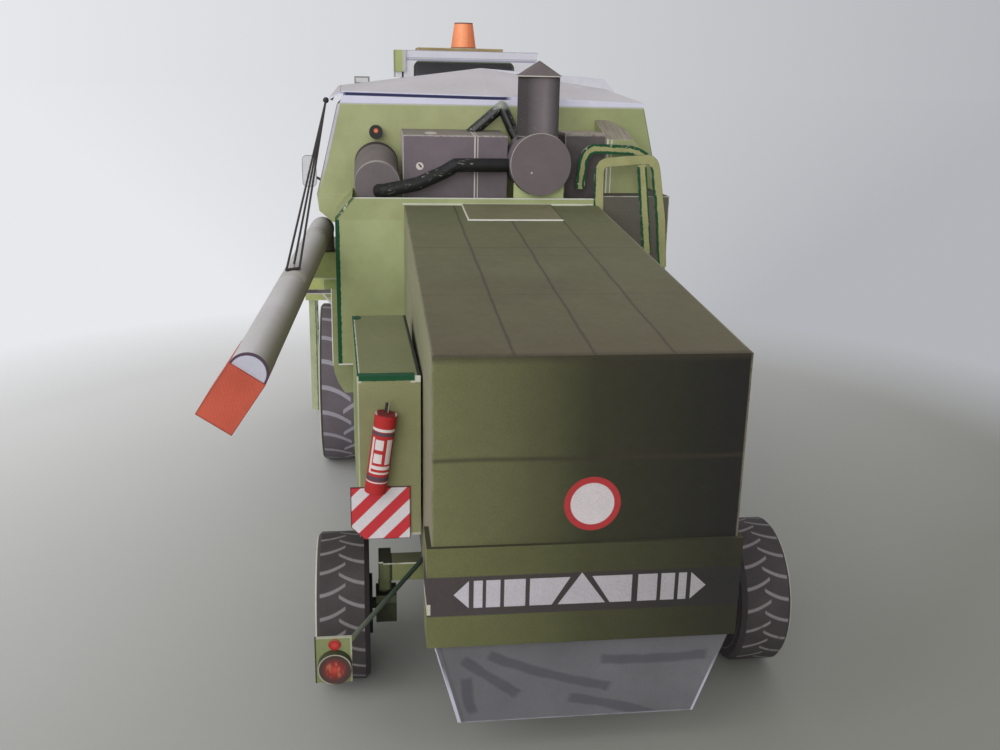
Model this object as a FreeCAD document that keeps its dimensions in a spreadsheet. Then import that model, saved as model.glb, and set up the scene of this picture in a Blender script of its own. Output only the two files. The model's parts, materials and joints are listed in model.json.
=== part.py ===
"""A hand-built card model of a combine harvester, as a parametric assembly.

Frame, in millimetres: +X is the machine's left, +Y its rear, +Z up.  The wheels stand on z = 0.
Along the machine, a station is a distance ahead of the straw hood's rear face, so y = rear_y - station.
"""
import FreeCAD, Part
import Sketcher
import math
import os

doc = FreeCAD.newDocument("card_combine")
sheet = doc.addObject("Spreadsheet::Sheet", "Sizes")
nodes = []


# ---------------------------------------------------------------- sizes that know their formula
class Size:
    """A number together with the spreadsheet formula that gives it."""

    def __init__(self, number, words):
        self.number = float(number)
        self.words = words

    def __add__(self, other):
        other = as_size(other)
        return Size(self.number + other.number, "(%s + %s)" % (self.words, other.words))

    def __sub__(self, other):
        other = as_size(other)
        return Size(self.number - other.number, "(%s - %s)" % (self.words, other.words))

    def __mul__(self, other):
        other = as_size(other)
        return Size(self.number * other.number, "(%s * %s)" % (self.words, other.words))

    def __truediv__(self, other):
        other = as_size(other)
        return Size(self.number / other.number, "(%s / %s)" % (self.words, other.words))

    def __neg__(self):
        return Size(-self.number, "(0 - %s)" % self.words)

    def __radd__(self, other):
        return as_size(other) + self

    def __rsub__(self, other):
        return as_size(other) - self

    def __rmul__(self, other):
        return as_size(other) * self


def as_size(value):
    if isinstance(value, Size):
        return value
    return Size(value, "%.6f" % value)


row = 0


def size(alias, number, meaning):
    """Write one driving dimension into the spreadsheet and hand it back as a Size."""
    global row
    row += 1
    sheet.set("A%d" % row, alias)
    sheet.set("B%d" % row, str(number))
    sheet.set("C%d" % row, meaning)
    sheet.setAlias("B%d" % row, alias)
    return Size(number, "Sizes.%s" % alias)


# ---------------------------------------------------------------- driving dimensions
rear_y = size("rear_y", 170, "y of the straw hood's rear face")
card = size("card", 0.8, "thickness of a card wall")
thin = size("thin", 0.4, "thickness of a single glued-on sheet")
gap = size("gap", 0.3, "clearance between pieces that move past each other")
fit = size("fit", 0.05, "radial clearance of a pin in its card bushing")

hood_half = size("hood_half", 35, "half width of the straw hood")
hood_rear_top = size("hood_rear_top", 100.3, "height of the hood's top at its rear edge")
hood_front_top = size("hood_front_top", 112.5, "height of the hood's top at its front edge")
hood_rear_foot = size("hood_rear_foot", 32.5, "lowest edge of the hood's rear wall")
hood_foot_run = size("hood_foot_run", 12, "length of the deep rear part of the hood's side")
hood_step_run = size("hood_step_run", 6, "length of the slope up to the raised side edge")
lip_top = size("lip_top", 57, "top of the sheet wrapped round the hood's rear")
lip_run = size("lip_run", 11, "how far the wrapped sheet reaches along the sides")
lip_card = size("lip_card", 1.1, "thickness of the wrapped sheet")
apron_foot = size("apron_foot", 9, "height of the straw apron's lower edge")
apron_lean = size("apron_lean", 3, "how far the apron's lower edge lies ahead of its top")
apron_tab = size("apron_tab", 33.8, "half width of the apron inside the hood")
apron_top_left = size("apron_top_left", 34.6, "left corner of the apron below the hood")
apron_top_right = size("apron_top_right", 35.6, "right corner of the apron below the hood")
apron_foot_left = size("apron_foot_left", 28.4, "left corner of the apron's foot")
apron_foot_right = size("apron_foot_right", 29.1, "right corner of the apron's foot")
hatch_left = size("hatch_left", 14.7, "left edge of the hatch on the hood")
hatch_right = size("hatch_right", 17.6, "right edge of the hatch on the hood")
hatch_run = size("hatch_run", 26.3, "length of the hatch on the hood")

bulkhead = size("bulkhead", 162, "station of the rear bulkhead of the body")
bulkhead_out = size("bulkhead_out", 59.3, "outer edge of the bulkhead")
bulkhead_foot = size("bulkhead_foot", 54, "lower edge of the bulkhead")
shoulder = size("shoulder", 108, "height where the bulkhead's outer edge turns in")
case_half = size("case_half", 34, "half width of the threshing case")
case_foot = size("case_foot", 38, "underside of the threshing case")
case_rear = size("case_rear", 64, "station of the threshing case's rear end")
case_rear_top = size("case_rear_top", 60, "top of the case's rear part inside the hood")
case_front = size("case_front", 262.5, "station of the front end of the cases")
side_out = size("side_out", 58.4, "outer face of the side cases")
arch_rear = size("arch_rear", 179, "station of the wheel arch's rear edge")
arch_slope = size("arch_slope", 4, "run of the wheel arch's slanted rear edge")
arch_top = size("arch_top", 68.5, "height of the wheel arch")

arch_out = size("arch_out", 61.8, "outer edge of the wall behind the front wheel")
arch_drop = size("arch_drop", 14, "how far that wall hangs below the bulkhead")
arch_station = size("arch_station", 173, "station of that wall")

deck_top = size("deck_top", 115, "top edge of the strip round the engine deck")
deck_floor = size("deck_floor", 110.6, "floor of the engine deck")
deck_left = size("deck_left", 53.2, "left end of the strip, where it turns down")
deck_right = size("deck_right", 36.8, "right end of the engine deck")
screen_out = size("screen_out", 61.5, "outer face of the screen box")
screen_foot = size("screen_foot", 88.8, "underside of the screen box")
screen_top = size("screen_top", 116, "top of the screen box")

tank_rear = size("tank_rear", 194, "station of the grain tank's rear wall")
tank_front = size("tank_front", 264, "station of the grain tank's front wall")
tank_foot = size("tank_foot", 102, "underside of the grain tank")
tank_foot_half = size("tank_foot_half", 61.2, "half width of the tank's underside")
tank_knee = size("tank_knee", 106.3, "height of the tank's lower knee")
tank_knee_half = size("tank_knee_half", 66.1, "half width at the lower knee")
tank_waist = size("tank_waist", 112.6, "height of the tank's widest line")
tank_waist_half = size("tank_waist_half", 66.8, "half width at the widest line")
tank_top = size("tank_top", 146.1, "height of the tank's upper edge")
tank_top_half = size("tank_top_half", 58.5, "half width of the tank's upper edge")
cover_ridge = size("cover_ridge", 230, "station where the two tank covers meet")
cover_left_rise = size("cover_left_rise", 6, "rise of the covers at the left end of their meeting line")
cover_peak_rise = size("cover_peak_rise", 13.8, "rise of the covers at their peak")
cover_right_rise = size("cover_right_rise", 6.5, "rise of the rear cover at the right end of the line")
cover_front_rise = size("cover_front_rise", 10.5, "rise of the front cover at the right end of the line")
cover_ridge_half = size("cover_ridge_half", 58.6, "left end of the covers' meeting line")
cover_left_half = size("cover_left_half", 56.1, "left end of the rim above the tank's walls")
cover_hip_half = size("cover_hip_half", 61.2, "outer end of the covers' left hip")
cover_hip_rise = size("cover_hip_rise", 1.4, "rise of the hip's outer corner")
cover_peak_x = size("cover_peak_x", 1.4, "place of the covers' peak")
cover_right_half = size("cover_right_half", 50.4, "right end of the covers' meeting line")
flap_left = size("flap_left", 3.7, "height of the covers' flap at the left end")
flap_middle = size("flap_middle", 2.9, "height of the flap below the peak")
flap_right = size("flap_right", 1, "height of the flap at the right end")

engine_left = size("engine_left", 35, "left end of the engine housing")
engine_rear = size("engine_rear", 170, "station of the engine housing's rear face")
engine_top = size("engine_top", 136, "top of the engine housing at its rear face")
engine_top_front = size("engine_top_front", 137.2, "top of the engine housing at the tank")
filter_x = size("filter_x", 44.3, "place of the air filter")
filter_z = size("filter_z", 119.2, "height of the air filter's rear end")
filter_rise = size("filter_rise", 5.6, "how much higher its front end lies")
filter_rear = size("filter_rear", 167, "station of its rear end")
filter_front = size("filter_front", 191, "station of its front end")
filter_radius = size("filter_radius", 8.1, "radius of the air filter")
drum_x = size("drum_x", -13.5, "place of the intake drum")
drum_z = size("drum_z", 127, "height of the intake drum")
drum_radius = size("drum_radius", 10.9, "radius of the intake drum")
drum_rear = size("drum_rear", 161, "station of the drum's rear end")
drum_length = size("drum_length", 19, "length of the drum")
stack_radius = size("stack_radius", 7.5, "radius of the intake stack")
stack_top = size("stack_top", 157, "top of the intake stack")
hat_radius = size("hat_radius", 8.7, "radius of the stack's conical hat")
hat_height = size("hat_height", 5.4, "height of the hat")
hose_radius = size("hose_radius", 2.4, "radius of the engine hose")
pipe_radius = size("pipe_radius", 2.1, "radius of the black pipe")
hose_start = size("hose_start", 44.1, "place where the hose leaves the air filter")
hose_low = size("hose_low", 116.8, "height of the hose at the air filter")
hose_sag_x = size("hose_sag_x", 30, "place of the hose's slack part")
hose_sag_z = size("hose_sag_z", 119.6, "height of the hose's slack part")
hose_kink = size("hose_kink", 20.5, "place of the hose's kink")
hose_kink_z = size("hose_kink_z", 123.8, "height of the hose's kink")
hose_level = size("hose_level", 16.5, "place where the hose runs level")
pipe_x = size("pipe_x", 10.3, "place where the black pipe leaves the engine housing")
pipe_gap = size("pipe_gap", 3.9, "gap between the black pipe and the grain tank")
pipe_rise = size("pipe_rise", 10.1, "rise of the black pipe's bend above the engine housing")
pipe_run = size("pipe_run", 3.8, "sideways run of the pipe below its bend")
light_deep = size("light_deep", 5, "depth of the work light")
light_radius = size("light_radius", 2.5, "radius of the work light")
cooler_right = size("cooler_right", 39.4, "right side of the grey cooler box")
cooler_rear = size("cooler_rear", 174, "station of its rear face")
cooler_top = size("cooler_top", 137.3, "top of the grey cooler box")
radiator_rear = size("radiator_rear", 172, "station of the radiator housing's rear face")
radiator_right = size("radiator_right", 53.9, "right side of the radiator housing at its rear")
radiator_front_right = size("radiator_front_right", 44.6, "right side of the housing at the tank")
radiator_slope = size("radiator_slope", 4.6, "chamfer of the radiator housing's outer edge")
radiator_low = size("radiator_low", 135.4, "top of the radiator housing at its rear")
radiator_high = size("radiator_high", 141.4, "top of the radiator housing at the tank")

rail_wide = size("rail_wide", 3.5, "width of the handrails' strips")
rail_in = size("rail_in", 35.2, "inner end of the near hoop")
rail_seat = size("rail_seat", 111, "height of the near hoop's inner end")
rail_top = size("rail_top", 128, "height of the near hoop's inner corner")
rail_far_top = size("rail_far_top", 129.2, "height of the near hoop's outer corner")
rail_corner = size("rail_corner", 54.9, "place of the near hoop's outer corner")
rail_knee = size("rail_knee", 58.7, "place of the near hoop's knee")
rail_knee_z = size("rail_knee_z", 107.1, "height of the near hoop's knee")
rail_foot = size("rail_foot", 60.2, "place of the near hoop's foot")
rail_foot_z = size("rail_foot_z", 90, "height of the near hoop's foot")
leg_top = size("leg_top", 50.4, "place of the second leg's upper end")
leg_foot = size("leg_foot", 54.1, "place of the second leg's foot")
leg_foot_z = size("leg_foot_z", 95, "height of the second leg's foot")
hoop_in = size("hoop_in", 29.4, "inner end of the far hoop")
hoop_seat = size("hoop_seat", 117.8, "height of the far hoop's inner end")
hoop_top = size("hoop_top", 132.3, "height of the far hoop's top")
hoop_run = size("hoop_run", 47.5, "place where the far hoop starts to fall")
far_rail = size("far_rail", 168, "station of the far handrail")
side_box_rear = size("side_box_rear", 34, "station of the side box's rear face")
side_box_front = size("side_box_front", 100, "station of the side box's front face")
side_box_foot = size("side_box_foot", 44.4, "underside of the side box")
side_box_top = size("side_box_top", 86.6, "top of the side box")
side_box_out = size("side_box_out", 51, "outer edge of its rear face")
side_box_out_front = size("side_box_out_front", 53, "outer edge of its front face")
side_box_gap = size("side_box_gap", 0.6, "gap between box and hood at the rear")
side_box_gap_front = size("side_box_gap_front", 1.9, "gap between box and hood at the front")
plate_wide = size("plate_wide", 15, "width of the striped warning plate")
plate_high = size("plate_high", 14.1, "height of the striped warning plate")
plate_foot = size("plate_foot", 43.7, "lower edge of the warning plate")
plate_corner = size("plate_corner", 3.4, "clipped corner of the warning plate")
bottle_radius = size("bottle_radius", 2.7, "radius of the fire extinguisher")
bottle_height = size("bottle_height", 20.4, "height of the fire extinguisher")
bottle_foot = size("bottle_foot", 57.9, "height of its base")
bottle_x = size("bottle_x", 47, "place of its base")
bottle_lean = size("bottle_lean", 8.2, "its lean inwards, in degrees")

rear_axle = size("rear_axle", 45.4, "station of the rear axle")
rear_radius = size("rear_radius", 19.5, "radius of the rear wheels")
rear_wheel_in = size("rear_wheel_in", 48.9, "inner face of the rear tyre")
rear_wheel_wide = size("rear_wheel_wide", 13.6, "width of the rear tyre")
rear_rim = size("rear_rim", 11, "radius of the rear rim")
rear_hub = size("rear_hub", 7.9, "radius of the disc on the rear wheel's inner side")
beam_rear = size("beam_rear", 38.2, "station of the rear axle beam's rear face")
beam_deep = size("beam_deep", 6.0, "depth of the rear axle beam")
beam_foot = size("beam_foot", 29.6, "underside of the rear axle beam")
beam_top = size("beam_top", 34.6, "top of the rear axle beam")
beam_half = size("beam_half", 45.2, "half length of the rear axle beam")
head_in = size("head_in", 43.1, "inner face of the kingpin heads")
head_out = size("head_out", 46.4, "outer face of the kingpin heads")
head_foot = size("head_foot", 26.6, "underside of the kingpin heads")
head_deep = size("head_deep", 8.5, "depth of the kingpin heads")
kingpin_x = size("kingpin_x", 45, "place of the kingpins")
kingpin_radius = size("kingpin_radius", 1.1, "radius of the kingpins")
knuckle_in = size("knuckle_in", 41.7, "inner face of the knuckle")
knuckle_out = size("knuckle_out", 47.2, "outer face of the knuckle")
knuckle_deep = size("knuckle_deep", 7.2, "depth of the knuckle")
knuckle_high = size("knuckle_high", 7.8, "height of the knuckle")
stub_radius = size("stub_radius", 1.5, "radius of the rear stub axle")

front_axle = size("front_axle", 215, "station of the front axle")
front_radius = size("front_radius", 32.5, "radius of the front wheels")
front_wheel_in = size("front_wheel_in", 46.4, "inner face of the front tyre")
front_wheel_wide = size("front_wheel_wide", 21.4, "width of the front tyre")
front_rim = size("front_rim", 18, "radius of the front rim")
front_hub = size("front_hub", 10, "radius of the disc on the front wheel's inner side")
front_beam_half = size("front_beam_half", 36, "half length of the front axle beam")
front_beam_deep = size("front_beam_deep", 14, "depth of the front axle beam")
front_beam_high = size("front_beam_high", 11.5, "height of the front axle beam")
drive_out = size("drive_out", 44.6, "outer face of the final drive boxes")
drive_deep = size("drive_deep", 19, "depth of the final drive boxes")
drive_foot = size("drive_foot", 24, "underside of the final drive boxes")
spindle_radius = size("spindle_radius", 2, "radius of the front spindles")
tyre_chamfer = size("tyre_chamfer", 1.2, "chamfer of the tyres' edges")
rim_set_back = size("rim_set_back", 3, "how deep the rims lie in the tyres")

lamp_station = size("lamp_station", 7.6, "station of the rear lamp plate")
lamp_in = size("lamp_in", 53, "inner edge of the rear lamp plate")
lamp_out = size("lamp_out", 61.6, "outer edge of the rear lamp plate")
lamp_foot = size("lamp_foot", 19.6, "lower edge of the rear lamp plate")
lamp_top = size("lamp_top", 31.3, "upper edge of the rear lamp plate")
lamp_z = size("lamp_z", 24.2, "height of the round lamp")
lamp_x = size("lamp_x", 57, "place of the round lamp")
lamp_radius = size("lamp_radius", 3.95, "radius of the round lamp")
lamp_deep = size("lamp_deep", 2.2, "depth of the round lamp")
reflector_z = size("reflector_z", 29.5, "height of the small reflector")
reflector_radius = size("reflector_radius", 1.3, "radius of the small reflector")
strut_radius = size("strut_radius", 0.6, "radius of the lamp's strut")
strut_station = size("strut_station", 36, "station of the strut's upper end")
strut_top = size("strut_top", 36.6, "height of the strut's upper end")

auger_x = size("auger_x", 65.4, "place of the auger's pivot")
auger_station = size("auger_station", 200, "station of the auger's pivot")
auger_z = size("auger_z", 98.6, "height of the auger tube at its pivot")
auger_radius = size("auger_radius", 4.6, "radius of the auger tube")
auger_run = size("auger_run", 184, "length of the auger tube")
auger_out = size("auger_out", 2.9, "its slant outwards, in degrees")
auger_droop = size("auger_droop", 1.8, "its slope down to the rear, in degrees")
stub_drop = size("stub_drop", 8.1, "drop of the auger's stub below the tube's middle")
auger_pin = size("auger_pin", 1.6, "radius of the auger's pivot pin")
auger_pin_high = size("auger_pin_high", 5, "height of the pivot pin")
foot_high = size("foot_high", 10.2, "height of the auger's foot")
foot_half = size("foot_half", 5.6, "half depth of the auger's foot")
spout_wide = size("spout_wide", 9.4, "width of the spout")
spout_long = size("spout_long", 18, "length of the spout")
spout_deep = size("spout_deep", 14.4, "depth of the spout below the tube's middle")
spout_roll = size("spout_roll", 34, "turn of the spout outwards, in degrees")
eye_run = size("eye_run", 97, "distance of the thread's eye from the pivot")
thread_radius = size("thread_radius", 0.35, "radius of a thread")
eye_radius = size("eye_radius", 0.6, "radius of the wire eye")
eye_high = size("eye_high", 1.6, "height of the wire eye above the tube")
knot_radius = size("knot_radius", 1.1, "radius of the threads' knot")
loop_radius = size("loop_radius", 0.45, "radius of the loop through the eye")
anchor_x = size("anchor_x", 62.6, "place of the threads' upper knot")
anchor_station = size("anchor_station", 195.5, "station of the threads' upper knot")
anchor_z = size("anchor_z", 147.1, "height of the threads' upper knot")
rest_z = size("rest_z", 78, "height of the auger rest arm")
rest_out = size("rest_out", 72, "outer end of the auger rest arm")
rest_station = size("rest_station", 174, "station of the auger rest arm")
rest_deep = size("rest_deep", 1, "thickness of the auger rest arm")
rest_high = size("rest_high", 1.6, "height of the auger rest arm's bar")
rest_brace = size("rest_brace", 8, "drop of the arm's brace")

cab_left = size("cab_left", 31, "left wall of the cab")
cab_right = size("cab_right", 28, "right wall of the cab")
cab_rear = size("cab_rear", 271.7, "station of the cab's rear wall")
cab_front = size("cab_front", 322, "station of the cab's front wall at the roof")
cab_nose = size("cab_nose", 6, "how far the cab's front slopes back at the floor")
cab_floor = size("cab_floor", 97, "underside of the cab")
cab_eaves = size("cab_eaves", 163.6, "underside of the cab's roof")
roof_top = size("roof_top", 167.2, "top of the cab's roof")
roof_brow = size("roof_brow", 5, "overhang of the roof at the front")
window_top = size("window_top", 162, "upper edge of the rear and side windows")
windscreen_top = size("windscreen_top", 152, "upper edge of the windscreen")
window_round = size("window_round", 2.2, "radius of the windows' corners")
window_sill = size("window_sill", 121, "lower edge of the rear and side windows")
windscreen_sill = size("windscreen_sill", 106, "lower edge of the windscreen")
window_frame = size("window_frame", 4.2, "width of the frame round the windows")
rear_window_left = size("rear_window_left", 25.8, "left edge of the rear window")
rear_window_right = size("rear_window_right", 17.6, "right edge of the rear window")
base_foot = size("base_foot", 78, "underside of the cab's base")
hatch_top = size("hatch_top", 168.8, "top of the roof hatch")
roof_hatch_left = size("roof_hatch_left", 24, "left edge of the roof hatch")
roof_hatch_right = size("roof_hatch_right", 15, "right edge of the roof hatch")
roof_hatch_rear = size("roof_hatch_rear", 286, "station of the roof hatch's rear edge")
roof_hatch_front = size("roof_hatch_front", 312, "station of the roof hatch's front edge")
seat_in = size("seat_in", 8, "right edge of the driver's seat")
seat_out = size("seat_out", 11, "left edge of the driver's seat")
seat_gap = size("seat_gap", 12, "distance of the seat from the cab's rear wall")
seat_long = size("seat_long", 17, "length of the seat's cushion")
seat_sit = size("seat_sit", 14, "height of the cushion above the cab's floor")
seat_high = size("seat_high", 36, "height of the backrest above the cab's floor")
seat_thick = size("seat_thick", 5, "thickness of the cushion")
seat_back_thick = size("seat_back_thick", 4, "thickness of the backrest")
post_half = size("post_half", 4.5, "half width of the seat's post")
column_x = size("column_x", 1.5, "place of the steering column")
column_front = size("column_front", 14, "distance of the column's foot from the cab's front")
column_lean = size("column_lean", 4, "lean of the column to the rear")
column_high = size("column_high", 22, "height of the steering wheel above the floor")
column_radius = size("column_radius", 1.6, "radius of the steering column")
wheel_radius = size("wheel_radius", 6, "radius of the steering wheel")
wheel_rim = size("wheel_rim", 0.7, "radius of the steering wheel's rim")
spoke_radius = size("spoke_radius", 0.6, "radius of the steering wheel's spokes")
beacon_x = size("beacon_x", 2.6, "place of the beacon")
beacon_station = size("beacon_station", 294, "station of the beacon")
beacon_radius = size("beacon_radius", 5.8, "radius of the beacon's base")
beacon_top_radius = size("beacon_top_radius", 4.2, "radius of the beacon's top")
beacon_top = size("beacon_top", 180.1, "top of the beacon")
side_unit_out = size("side_unit_out", 35.2, "outer face of the box on the cab's side")
side_unit_foot = size("side_unit_foot", 155.6, "underside of that box")
side_unit_long = size("side_unit_long", 13, "length of that box")
side_unit_lap = size("side_unit_lap", 1, "how far its rear sheet laps over the cab's rear wall")
side_unit_tip = size("side_unit_tip", 2.4, "how far the box shows below that sheet")
side_lamp_in = size("side_lamp_in", 46.1, "inner edge of the lamp on the cab's arm")
side_lamp_out = size("side_lamp_out", 52.7, "outer edge of that lamp")
side_lamp_deep = size("side_lamp_deep", 3.4, "depth of that lamp")
side_lamp_high = size("side_lamp_high", 3.2, "height of that lamp above its arm")
mirror_in = size("mirror_in", 70.8, "inner edge of the left mirror")
mirror_wide = size("mirror_wide", 6.4, "width of a mirror")
mirror_foot = size("mirror_foot", 106.3, "lower edge of the mirrors")
mirror_high = size("mirror_high", 14.3, "height of a mirror")
mirror_station = size("mirror_station", 280, "station of the mirrors")
mirror_round = size("mirror_round", 2.2, "radius of the mirrors' corners")
mirror_wire = size("mirror_wire", 0.6, "radius of the mirrors' wires")
mirror_reach = size("mirror_reach", 85.4, "outer edge of the right mirror, on its longer arm")

platform_out = size("platform_out", 76.6, "outer edge of the platform")
platform_top = size("platform_top", 78, "top of the platform")
platform_rear = size("platform_rear", 263, "station of the platform's rear edge")
platform_front = size("platform_front", 316, "station of the platform's front edge")
panel_foot = size("panel_foot", 56.8, "lower edge of the platform's rear panel")
panel_top = size("panel_top", 80.2, "upper edge of the platform's rear panel")
panel_in = size("panel_in", 60, "inner edge of the platform's rear panel")
ladder_in = size("ladder_in", 72, "inner edge of the ladder")
ladder_wide = size("ladder_wide", 3.2, "depth of the ladder's sides")
ladder_foot = size("ladder_foot", 4, "lower end of the ladder")
ladder_long = size("ladder_long", 20, "distance between the ladder's sides")
rung_first = size("rung_first", 5, "height of the lowest rung above the ladder's foot")
rung_pitch = size("rung_pitch", 14, "distance between two rungs")
fender_out = size("fender_out", 66.4, "outer edge of the step above the front wheel")
fender_top = size("fender_top", 80, "top of the step above the front wheel")
fender_rear = size("fender_rear", 214, "station of the step's rear end")
feeder_half = size("feeder_half", 22, "half width of the feeder house")
feeder_front = size("feeder_front", 341, "station of the feeder house's mouth")
feeder_mouth_foot = size("feeder_mouth_foot", 12, "lower edge of the mouth")
feeder_mouth_top = size("feeder_mouth_top", 37, "upper edge of the mouth")
feeder_rear_foot = size("feeder_rear_foot", 45, "underside of the feeder house at its rear")
feeder_rear_top = size("feeder_rear_top", 77, "top of the feeder house at its rear")

doc.recompute()


# ---------------------------------------------------------------- ways of making a piece
def y_at(station):
    return rear_y - station


def bind(thing, prop, value):
    thing.setExpression(prop, as_size(value).words)


def node(thing, label):
    """Name a finished piece; each one becomes a file of its own."""
    thing.Label = label
    if thing.Label != label:
        raise SystemExit("two objects are called " + label)
    nodes.append(thing)
    return thing


def block(name, x, station, z):
    """A box between two values along each direction."""
    low_x, high_x = as_size(x[0]), as_size(x[1])
    rear, front = as_size(station[0]), as_size(station[1])
    low_z, high_z = as_size(z[0]), as_size(z[1])
    thing = doc.addObject("Part::Box", name)
    bind(thing, "Length", high_x - low_x)
    bind(thing, "Width", front - rear)
    bind(thing, "Height", high_z - low_z)
    bind(thing, "Placement.Base.x", low_x)
    bind(thing, "Placement.Base.y", y_at(front))
    bind(thing, "Placement.Base.z", low_z)
    return thing


TURN = {"x": FreeCAD.Rotation(FreeCAD.Vector(0, 1, 0), 90),
        "ahead": FreeCAD.Rotation(FreeCAD.Vector(1, 0, 0), 90),
        "z": FreeCAD.Rotation()}


def drum(name, along, start, radius, length, top_radius=None):
    """A cylinder, or a cone, that starts at (x, station, z) and runs along x, ahead or up."""
    kind = "Part::Cylinder" if top_radius is None else "Part::Cone"
    thing = doc.addObject(kind, name)
    thing.Placement = FreeCAD.Placement(FreeCAD.Vector(0, 0, 0), TURN[along])
    bind(thing, "Placement.Base.x", start[0])
    bind(thing, "Placement.Base.y", y_at(as_size(start[1])))
    bind(thing, "Placement.Base.z", start[2])
    if top_radius is None:
        bind(thing, "Radius", radius)
    else:
        bind(thing, "Radius1", radius)
        bind(thing, "Radius2", top_radius)
    bind(thing, "Height", length)
    return thing


PLANES = {"back": "XZ_Plane", "side": "YZ_Plane", "top": "XY_Plane"}


def prism(name, view, outline, start, length):
    """A straight-sided outline, drawn in one view and padded.

    back: (x, z) from a station forwards.  side: (station, z) from an x leftwards.  top: (x, station) upwards.
    """
    body = doc.addObject("PartDesign::Body", name)
    sketch = body.newObject("Sketcher::SketchObject", name + "_outline")
    plane = [f for f in body.Origin.OriginFeatures if f.Role == PLANES[view]][0]
    sketch.AttachmentSupport = (plane, [""])
    sketch.MapMode = "FlatFace"
    start = as_size(start)
    offset = start - rear_y if view == "back" else start
    bind(sketch, "AttachmentOffset.Base.z", offset)
    corners = []
    for across, up in outline:
        across, up = as_size(across), as_size(up)
        if view == "side":
            across = y_at(across)
        if view == "top":
            up = y_at(up)
        corners.append((across, up))
    count = len(corners)
    points = [FreeCAD.Vector(a.number, b.number, 0) for a, b in corners]
    for i in range(count):
        sketch.addGeometry(Part.LineSegment(points[i], points[(i + 1) % count]), False)
    for i in range(count):
        sketch.addConstraint(Sketcher.Constraint("Coincident", i, 2, (i + 1) % count, 1))
    for i, (across, up) in enumerate(corners):
        for kind, value in (("DistanceX", across), ("DistanceY", up)):
            index = sketch.addConstraint(Sketcher.Constraint(kind, -1, 1, i, 1, value.number))
            bind(sketch, "Constraints[%d]" % index, value)
    pad = body.newObject("PartDesign::Pad", name + "_pad")
    pad.Profile = sketch
    bind(pad, "Length", as_size(length))
    body.Tip = pad
    return body


def cut(name, base, *tools):
    thing = doc.addObject("Part::Cut", name)
    thing.Base = base
    thing.Tool = tools[0] if len(tools) == 1 else joined(name + "_tools", *tools)
    return thing


def joined(name, *pieces):
    thing = doc.addObject("Part::MultiFuse", name)
    thing.Shapes = list(pieces)
    thing.Refine = True
    return thing


def doc_compound(name, *pieces):
    """Like pieces that don't touch, kept together as one named piece."""
    thing = doc.addObject("Part::Compound", name)
    thing.Links = list(pieces)
    return thing


def common(name, first, second):
    thing = doc.addObject("Part::Common", name)
    thing.Base = first
    thing.Tool = second
    return thing


def mirrored(name, source):
    """The same piece on the machine's other side."""
    thing = doc.addObject("Part::Mirroring", name)
    thing.Source = source
    thing.Normal = FreeCAD.Vector(1, 0, 0)
    thing.Base = FreeCAD.Vector(0, 0, 0)
    return thing


def spot(x, station, z):
    """A point of the model from an x, a station and a height."""
    return FreeCAD.Vector(as_size(x).number, y_at(as_size(station)).number, as_size(z).number)


def shaped(name, shape):
    thing = doc.addObject("Part::Feature", name)
    thing.Shape = shape
    return thing


def rod_shape(start, end, radius):
    along = end - start
    return Part.makeCylinder(radius.number, along.Length, start, along)


def bent_tube(points, radius):
    """Straight runs between the points, with a ball at each bend."""
    runs = [rod_shape(a, b, radius) for a, b in zip(points, points[1:])]
    balls = [Part.makeSphere(radius.number, p) for p in points[1:-1]]
    return runs[0].multiFuse(runs[1:] + balls)


def folded_sheet(points, triangles, thickness):
    """A sheet of card folded along the triangles' edges, its lower side one thickness down."""
    drop = FreeCAD.Vector(0, 0, -thickness.number)
    edges = []
    for t in triangles:
        edges += [(t[0], t[1]), (t[1], t[2]), (t[2], t[0])]
    rim = [e for e in edges if (e[1], e[0]) not in edges]
    faces = []
    for a, b, c in triangles:
        top = [points[a], points[b], points[c]]
        faces.append(Part.Face(Part.makePolygon(top + top[:1])))
        low = [p + drop for p in reversed(top)]
        faces.append(Part.Face(Part.makePolygon(low + low[:1])))
    for a, b in rim:
        wall = [points[a], points[b], points[b] + drop, points[a] + drop]
        faces.append(Part.Face(Part.makePolygon(wall + wall[:1])))
    solid = Part.makeSolid(Part.makeShell(faces))
    solid.fixTolerance(1e-5)
    if solid.Volume < 0:
        solid.reverse()
    return solid


def strip(points, width, thickness, station):
    """A flat band of card that follows (x, z) points in an upright plane across the machine."""
    pieces = []
    back = y_at(as_size(station)).number
    half = width.number / 2
    for (xa, za), (xb, zb) in zip(points, points[1:]):
        run = math.hypot(xb - xa, zb - za)
        side_x = -(zb - za) / run * half
        side_z = (xb - xa) / run * half
        ring = [FreeCAD.Vector(xa + side_x, back, za + side_z), FreeCAD.Vector(xb + side_x, back, zb + side_z),
                FreeCAD.Vector(xb - side_x, back, zb - side_z), FreeCAD.Vector(xa - side_x, back, za - side_z)]
        face = Part.Face(Part.makePolygon(ring + ring[:1]))
        pieces.append(face.extrude(FreeCAD.Vector(0, -thickness.number, 0)))
    for x, z in points[1:-1]:
        disc = Part.makeCylinder(half, thickness.number, FreeCAD.Vector(x, back, z), FreeCAD.Vector(0, -1, 0))
        pieces.append(disc)
    return pieces[0].multiFuse(pieces[1:]).removeSplitter()


# ---------------------------------------------------------------- straw hood and what hangs on it
hood_slope = (hood_front_top - hood_rear_top) / bulkhead


def hood_top_at(station):
    return hood_rear_top + hood_slope * station


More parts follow.
